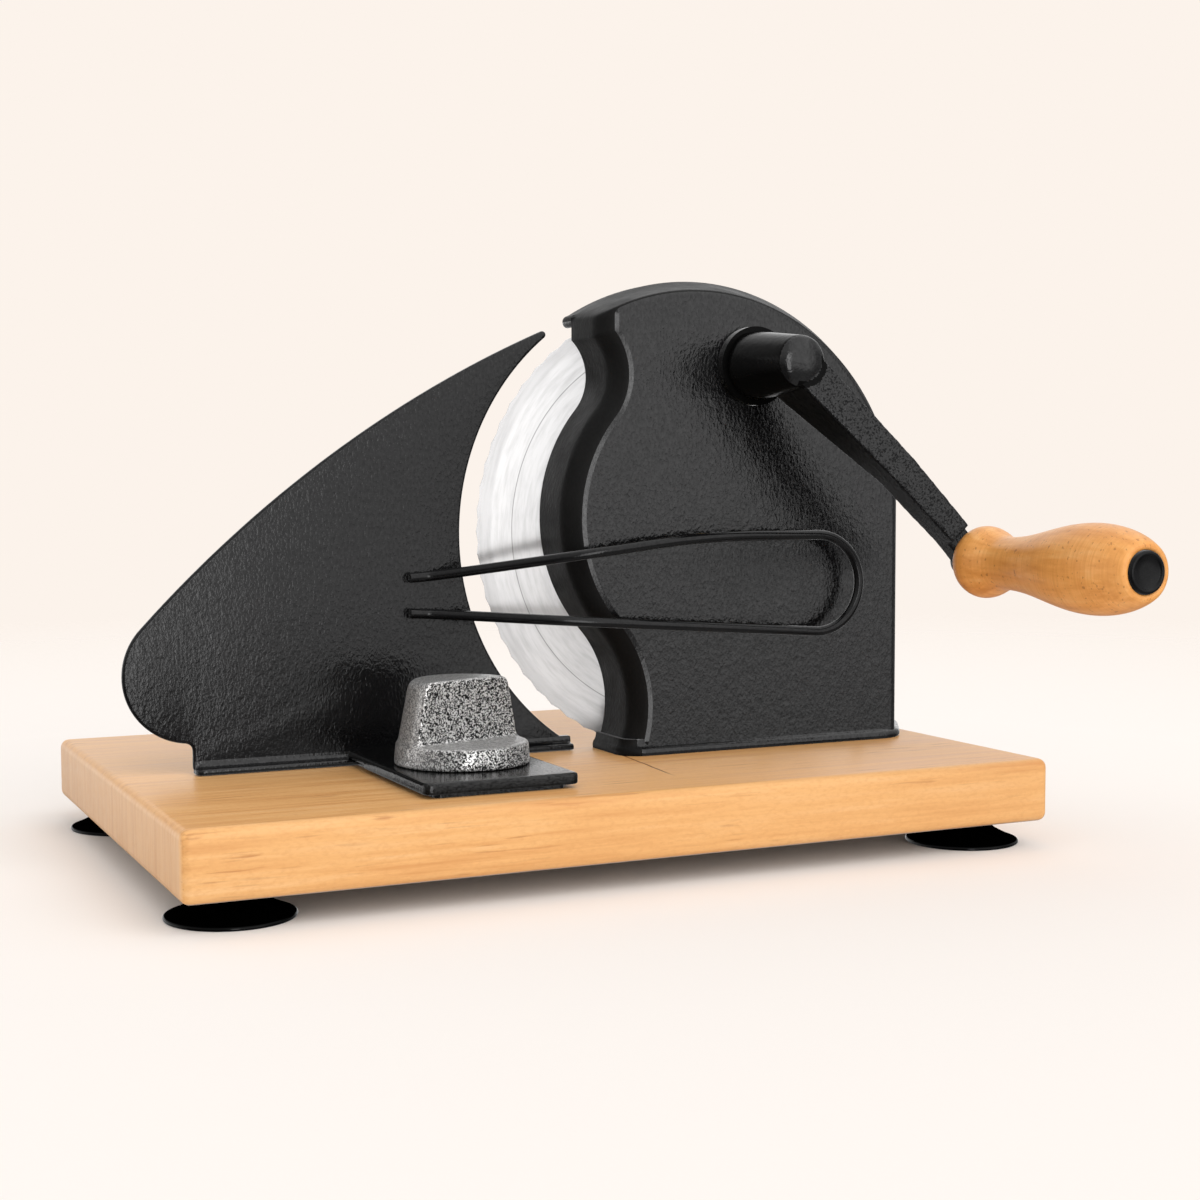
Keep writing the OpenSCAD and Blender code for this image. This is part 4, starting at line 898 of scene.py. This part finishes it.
def make_fence():
    """The plate, with rounded edges on both faces."""
    chain = fence_chain()
    r = FENCE_ROUND
    turns = [math.radians(90.0 * i / 4) for i in range(5)]
    rows = [(BLADE_BACK - r + r * math.cos(a), r - r * math.sin(a)) for a in turns]
    rows += [(FENCE_FRONT + r - r * math.sin(a), r - r * math.cos(a)) for a in turns]
    rings = [[(x, y, z) for x, z in inward(chain, inset)] for y, inset in rows]
    piece("fence_cover", skin(rings), "fence", ["fence_plate"], MAT["fence"], 50.0)


make_fence()


def make_fence_foot():
    """Foot of the fence: a folded flange with a rounded inside corner and front edge."""
    left = NOSE_X
    right = FENCE_FOOT_RIGHT
    # Depth and height above the board
    profile = [(-6.0, 0.2), (-11.6, 0.2), (-12.2, 0.45), (-12.5, 1.0), (-12.5, 1.9), (-12.2, 2.4),
               (-11.6, 2.68), (-10.2, 2.75), (-9.3, 3.0), (-8.6, 3.6), (-8.15, 4.5), (-7.95, 5.6),
               (-6.0, 5.6)]
    # Places along the flange and how far its ends shrink there
    stations = [(left + 0.4, 2.4), (left + 0.8, 1.4), (left + 1.5, 0.6), (left + 2.4, 0.15),
                (left + 3.4, 0.0), (right - 1.0, 0.0), (right - 0.3, 0.35), (right, 0.9)]
    rings = []
    for x, shrink in stations:
        low = min(shrink, 0.9)
        ring = []
        for y, up in profile:
            depth = min(y + shrink, -8.2) if y < -8.5 else y
            ring.append((x, depth, TOP + max(0.2 + low * 0.4, up - low * 0.5)))
        rings.append(ring)
    piece("fence_foot", skin(rings), "fence", None, MAT["coat"], 45.0)


make_fence_foot()
tab = rounded_block("fence_tab", (-80.0, -22.0, TOP + 0.2), (-27.0, -7.0, TOP + 2.7), 0.5, 4)
dress(tab, "fence", None, MAT["speckled"], 50.0)


# Guard wire

def tube(path, r, sides):
    """Rings of a round rod along a path."""
    path = [Vector(p) for p in path]
    rings = []
    for i, p in enumerate(path):
        t = (path[min(i + 1, len(path) - 1)] - path[max(i - 1, 0)]).normalized()
        u = t.cross(Vector((0, 1, 0))).normalized()
        v = t.cross(u)
        turns = [2 * math.pi * k / sides for k in range(sides)]
        rings.append([tuple(p + (u * math.cos(a) + v * math.sin(a)) * r) for a in turns])
    return rings


def make_wire():
    upper = smooth_line([(-57.0, WELD_Y, LOOP_Z + 4.6), (-45.0, WELD_Y, LOOP_Z + 5.3),
                         (3.0, WIRE_Y, LOOP_Z + 14.0), (55.5, WIRE_Y, LOOP_Z + LOOP_R + 0.4),
                         (LOOP_X, WIRE_Y, LOOP_Z + LOOP_R)], 4)
    bow = [(x, WIRE_Y, z) for x, z in arc(LOOP_X, LOOP_Z, LOOP_R, 90.0, -90.0, 36)[1:-1]]
    lower = smooth_line([(LOOP_X, WIRE_Y, LOOP_Z - LOOP_R), (3.0, WIRE_Y, LOOP_Z - 12.4),
                         (-45.0, WELD_Y, LOOP_Z - 10.1), (-57.0, WELD_Y, LOOP_Z - 9.4)], 4)
    rings = tube(upper + bow + lower, WIRE_R, 20)
    piece("guard_loop", skin(rings), "fence", ["guard_wire"], MAT["wire"], 50.0)


make_wire()


# Grip and plug

def wave(t):
    return (1 - math.cos(math.pi * t)) / 2


def grip_radius(s):
    """Radius of the grip at the distance s from its inner end."""
    if s < FLANGE_AT:
        return FLANGE_R - 2.0 * (1 - s / FLANGE_AT) ** 2
    if s < NECK_GRIP_AT:
        return FLANGE_R + (NECK_GRIP_R - FLANGE_R) * wave((s - FLANGE_AT) / (NECK_GRIP_AT - FLANGE_AT))
    if s < BELLY_AT:
        return NECK_GRIP_R + (BELLY_R - NECK_GRIP_R) * wave((s - NECK_GRIP_AT) / (BELLY_AT - NECK_GRIP_AT))
    t = (s - BELLY_AT) / (GRIP_L - BELLY_AT)
    return BELLY_R * math.sqrt(1 - (1 - (GRIP_END_R / BELLY_R) ** 2) * t * t)


def make_grip():
    profile = round_profile([(GRIP_BORE_R, 0.0), (FLANGE_R - 2.6, 0.0), (FLANGE_R - 1.6, 0.8)], 1.0, 5)
    places = [0.9 + (GRIP_L - 2.4) * i / 120 for i in range(121)]
    profile += [(grip_radius(s), s) for s in places]
    end = GRIP_L
    profile += [(GRIP_END_R + 0.1, end - 0.7), (GRIP_END_R - 0.5, end - 0.25), (GRIP_END_R - 1.2, end - 0.1),
                (PLUG_R + 0.4, end - 0.3), (PLUG_R + 0.05, end - 0.8), (PLUG_R, end - 8.0),
                (GRIP_BORE_R, end - 8.0)]
    rings = turned(profile, 96, along_y(GRIP_X, GRIP_Y, GRIP_Z))
    grip = piece("grip_body", skin(rings, True), "grip", ["crank_grip"], MAT["grip"], 50.0)
    grip.visible_glossy = False


make_grip()


def make_plug():
    rim = PLUG_R - 0.03
    profile = [(0.0, 0.0), (rim, 0.0), (rim, 4.0), (rim - 0.15, 4.6), (rim - 0.55, 5.0), (rim - 1.1, 5.15),
               (rim - 1.6, 4.95), (rim - 1.9, 4.5), (rim - 2.2, 4.3), (3.0, 4.15), (0.0, 4.1)]
    rings = turned(profile, 72, along_y(GRIP_X, GRIP_Y - GRIP_L + 4.0, GRIP_Z))
    piece("grip_cap", skin(rings), "grip", ["grip_plug"], MAT["plug"], 45.0)


make_plug()


# Suction feet

def make_foot(name, x, y):
    corners = [(2.05, 0.0), (10.4, 0.0), (11.0, -0.6), (11.0, -2.8), (13.2, -5.0), (17.4, -7.2), (20.6, -8.6),
               (22.1, -9.1), (FOOT_R, -9.5), (FOOT_R, -10.1), (22.2, -FOOT_H), (19.5, -FOOT_H), (13.0, -6.6),
               (6.0, -4.5), (2.05, -4.5)]
    rings = turned(round_profile(corners, 1.6, 5), 96, along_z(x, y, 0.0))
    piece(name + "_cup", skin(rings, True), "base", [name], MAT["rubber"], 50.0)


for side, sx in (("left", -1), ("right", 1)):
    for end, sy in (("front", -1), ("rear", 1)):
        make_foot("suction_foot_" + end + "_" + side, sx * FOOT_X, sy * FOOT_Y)


# Castings that are rounded by remeshing a copy of their solids

def rounded_copy(name, node, body, material, passes):
    obj = linked(name, nodes[node].data.copy())
    grid = obj.modifiers.new("grid", "REMESH")
    grid.mode = "VOXEL"
    grid.voxel_size = 0.6 * MM
    ease = obj.modifiers.new("ease", "SMOOTH")
    ease.factor = 0.5
    ease.iterations = passes
    baked(obj)
    dress(obj, body, [node], material, 80.0)
    return obj


rounded_copy("knob_cover", "clamp_knob", "knob", MAT["knob"], 14)


def make_slide():
    """The slide plate, whose edge hangs down a little in front of the rail and beside it."""
    plate = rounded_copy("slide_cover", "slide_plate", "fence", MAT["slide"], 12)
    for vertex in plate.data.vertices:
        spot = drawn(vertex.co)
        outside = spot.y < SLIDE_FRONT + SKIRT_W or abs(spot.x - KNOB_X) > SLIDE_W / 2 - SKIRT_W
        if spot.z < SLIDE_MID_Z and outside and spot.y < SKIRT_END_Y:
            vertex.co.z -= SKIRT_DROP * MM


make_slide()


def make_arm():
    """The arm with a speckled coat, a smooth dark hub and a brighter dome, with a band of painted shade where
    the dome meets the arm.
    """
    arm = rounded_copy("arm_cover", "crank_arm", "crank", MAT["speckled"], 6)
    arm.data.materials.append(MAT["hub"])
    arm.data.materials.append(MAT["dome"])
    for face in arm.data.polygons:
        spot = drawn(face.center)
        reach = math.hypot(spot.x - CRANK_X, spot.z - CRANK_Z)
        if reach < HUB_SIDE_R + (spot.y - HUB_Y) * HUB_SLOPE:
            # Where the arm starts, the dome ends sooner and the dark hub coat runs on as a band of painted
            # shade in the hollow
            on_arm = spot.x - CRANK_X - spot.z + CRANK_Z > reach * 0.7
            limit = DOME_SHADE_START_R if on_arm else DOME_R
            face.material_index = 2 if reach < limit and face.normal.y < -0.4 else 1


make_arm()


# Nodes that stay as solids, two of them with softened edges

def keep(node, material, edge=0.0):
    obj = nodes[node]
    obj.data.materials.clear()
    obj.data.materials.append(material)
    if edge > 0:
        soften = obj.modifiers.new("edge", "BEVEL")
        soften.width = edge * MM
        soften.segments = 3
        soften.limit_method = "ANGLE"
        soften.angle_limit = math.radians(50)


keep("slide_rail", MAT["slide"], 0.4)
keep("crank_bush", MAT["hub"], 0.9)
for name in ("foot_screws", "housing_screws", "blade_axle", "axle_washer", "axle_screw", "rail_screws",
             "clamp_stud", "blade_screws", "crank_shaft", "drive_pinion", "pinion_pin", "arm_screw",
             "grip_spindle", "plate_screws", "knob_washer"):
    keep(name, MAT["steel"])
for name in ("gear_bush", "shaft_washer", "knob_insert"):
    keep(name, MAT["bronze"])
keep("blade_gear", MAT["nylon"])


# Floor, light and camera, in metres and degrees; the camera's place is in millimetres of the drawing

AMBIENT = 0.79
FLOOR_HALF = 2.0
KEY_TOWARD, KEY_SHARE, KEY_ANGLE = (0.2, -0.75, 0.62), 0.45, 60.0
STRIP_PLACE, STRIP_SIZE, STRIP_RADIANCE = (-0.37, -2.0, 0.14), (0.45, 1.6), 2.4
SENSOR_W, LENS = 36.0, 55.85
CAMERA_AZIMUTH, CAMERA_PITCH, CAMERA_ROLL = -25.22, 3.79, -0.16
CAMERA_X, CAMERA_Y, CAMERA_Z = -301.2, -704.3, 137.2


def make_floor():
    """Pale floor that keeps the shadow and fades into the backdrop away from the object."""
    mesh = bpy.data.meshes.new("floor")
    half = FLOOR_HALF
    mesh.from_pydata([(-half, -half, 0.0), (half, -half, 0.0), (half, half, 0.0), (-half, half, 0.0)], [],
                     [(0, 1, 2, 3)])
    floor = linked("floor", mesh)
    mat, tree, shader = new_material("floor_paper")
    coord = object_point(tree)
    grain = noise(tree, coord, 900.0, 2.0, 0.5)
    put(tree, shader, "Base Color", mix(tree, grain, tuple(v * 0.985 for v in PAPER), PAPER))
    put(tree, shader, "Roughness", 0.9)
    put(tree, shader, "Specular IOR Level", 0.0)
    reach = add(tree, "VectorMath", {0: coord}, operation="LENGTH").outputs["Value"]
    fade = span(tree, reach, 0.45, 1.3, 0.0, 1.0)
    clear = add(tree, "BsdfTransparent")
    both = add(tree, "MixShader", {0: fade, 1: shader.outputs["BSDF"], 2: clear.outputs["BSDF"]})
    out = [node for node in tree.nodes if node.type == "OUTPUT_MATERIAL"][0]
    put(tree, out, "Surface", both.outputs[0])
    mesh.materials.append(mat)
    floor.visible_glossy = False


def make_world():
    """Even studio light, a pale backdrop for the camera and a white room for reflections."""
    world = bpy.data.worlds.new("studio")
    bpy.context.scene.world = world
    world.use_nodes = True
    tree = world.node_tree
    tree.nodes.clear()
    light = add(tree, "Background", {"Color": (*DAYLIGHT, 1.0), "Strength": AMBIENT})
    # In reflections the room is bright in front, above and behind, and dim at the sides and below
    way = split(tree, add(tree, "TexCoord").outputs["Generated"])
    left = span(tree, way["X"], -0.4, -0.05, 0.0, 1.0)
    right = span(tree, way["X"], 0.62, 0.85, 1.0, 0.0)
    front = times(tree, left, right)
    above = span(tree, way["Z"], 0.15, 0.4, 0.0, 0.35)
    behind = times(tree, span(tree, way["Y"], 0.0, 0.4, 0.0, 1.0), span(tree, way["Z"], 0.12, 0.3, 1.0, 0.15))
    behind = times(tree, behind, span(tree, way["X"], 0.5, 0.7, 1.0, 0.1))
    open_part = math_node(tree, "MAXIMUM", front, math_node(tree, "MAXIMUM", above, behind))
    level = math_node(tree, "MULTIPLY_ADD", open_part, 0.84, 0.26)
    level = times(tree, level, span(tree, way["Z"], -0.28, -0.02, 0.25, 1.0))
    room = add(tree, "Background", {"Color": (*ROOM_WHITE, 1.0), "Strength": level})
    seen = add(tree, "Background", {"Color": (*CREAM, 1.0), "Strength": 1.0})
    path = add(tree, "LightPath").outputs
    lit = add(tree, "MixShader", {0: path["Is Glossy Ray"], 1: light.outputs[0], 2: room.outputs[0]})
    final = add(tree, "MixShader", {0: path["Is Camera Ray"], 1: lit.outputs[0], 2: seen.outputs[0]})
    add(tree, "OutputWorld", {"Surface": final.outputs[0]})


def make_key():
    """A wide sun; its share is the brightness that it gives a white face turned to it."""
    data = bpy.data.lights.new("key", "SUN")
    data.energy = KEY_SHARE * math.pi
    data.angle = math.radians(KEY_ANGLE)
    data.color = DAYLIGHT
    lamp = linked("key", data)
    lamp.rotation_euler = (-Vector(KEY_TOWARD)).to_track_quat("-Z", "Y").to_euler()
    lamp.visible_glossy = False


def make_strip():
    """A tall soft box that is seen in reflections only."""
    wide, high = STRIP_SIZE
    data = bpy.data.lights.new("strip", "AREA")
    data.shape = "RECTANGLE"
    data.size = wide
    data.size_y = high
    data.energy = STRIP_RADIANCE * math.pi * wide * high
    lamp = linked("strip", data)
    place = Vector(STRIP_PLACE)
    lamp.location = place
    lamp.rotation_euler = (Vector((0.0, 0.0, place.z)) - place).to_track_quat("-Z", "Y").to_euler()
    lamp.visible_diffuse = False


def make_camera():
    data = bpy.data.cameras.new("camera")
    data.sensor_fit = "HORIZONTAL"
    data.sensor_width = SENSOR_W
    data.lens = LENS
    data.clip_start = 0.01
    data.clip_end = 100.0
    camera = linked("camera", data)
    azimuth = math.radians(CAMERA_AZIMUTH)
    pitch = math.radians(CAMERA_PITCH)
    forward = Vector((-math.sin(azimuth) * math.cos(pitch), math.cos(azimuth) * math.cos(pitch),
                      -math.sin(pitch)))
    turn = forward.to_track_quat("-Z", "Y").to_matrix().to_4x4()
    place = Matrix.Translation(Vector(placed(CAMERA_X, CAMERA_Y, CAMERA_Z)))
    camera.matrix_world = place @ turn @ Matrix.Rotation(math.radians(CAMERA_ROLL), 4, "Z")
    bpy.context.scene.camera = camera


make_floor()
make_world()
make_key()
make_strip()
make_camera()
bpy.context.scene.view_settings.view_transform = "Standard"
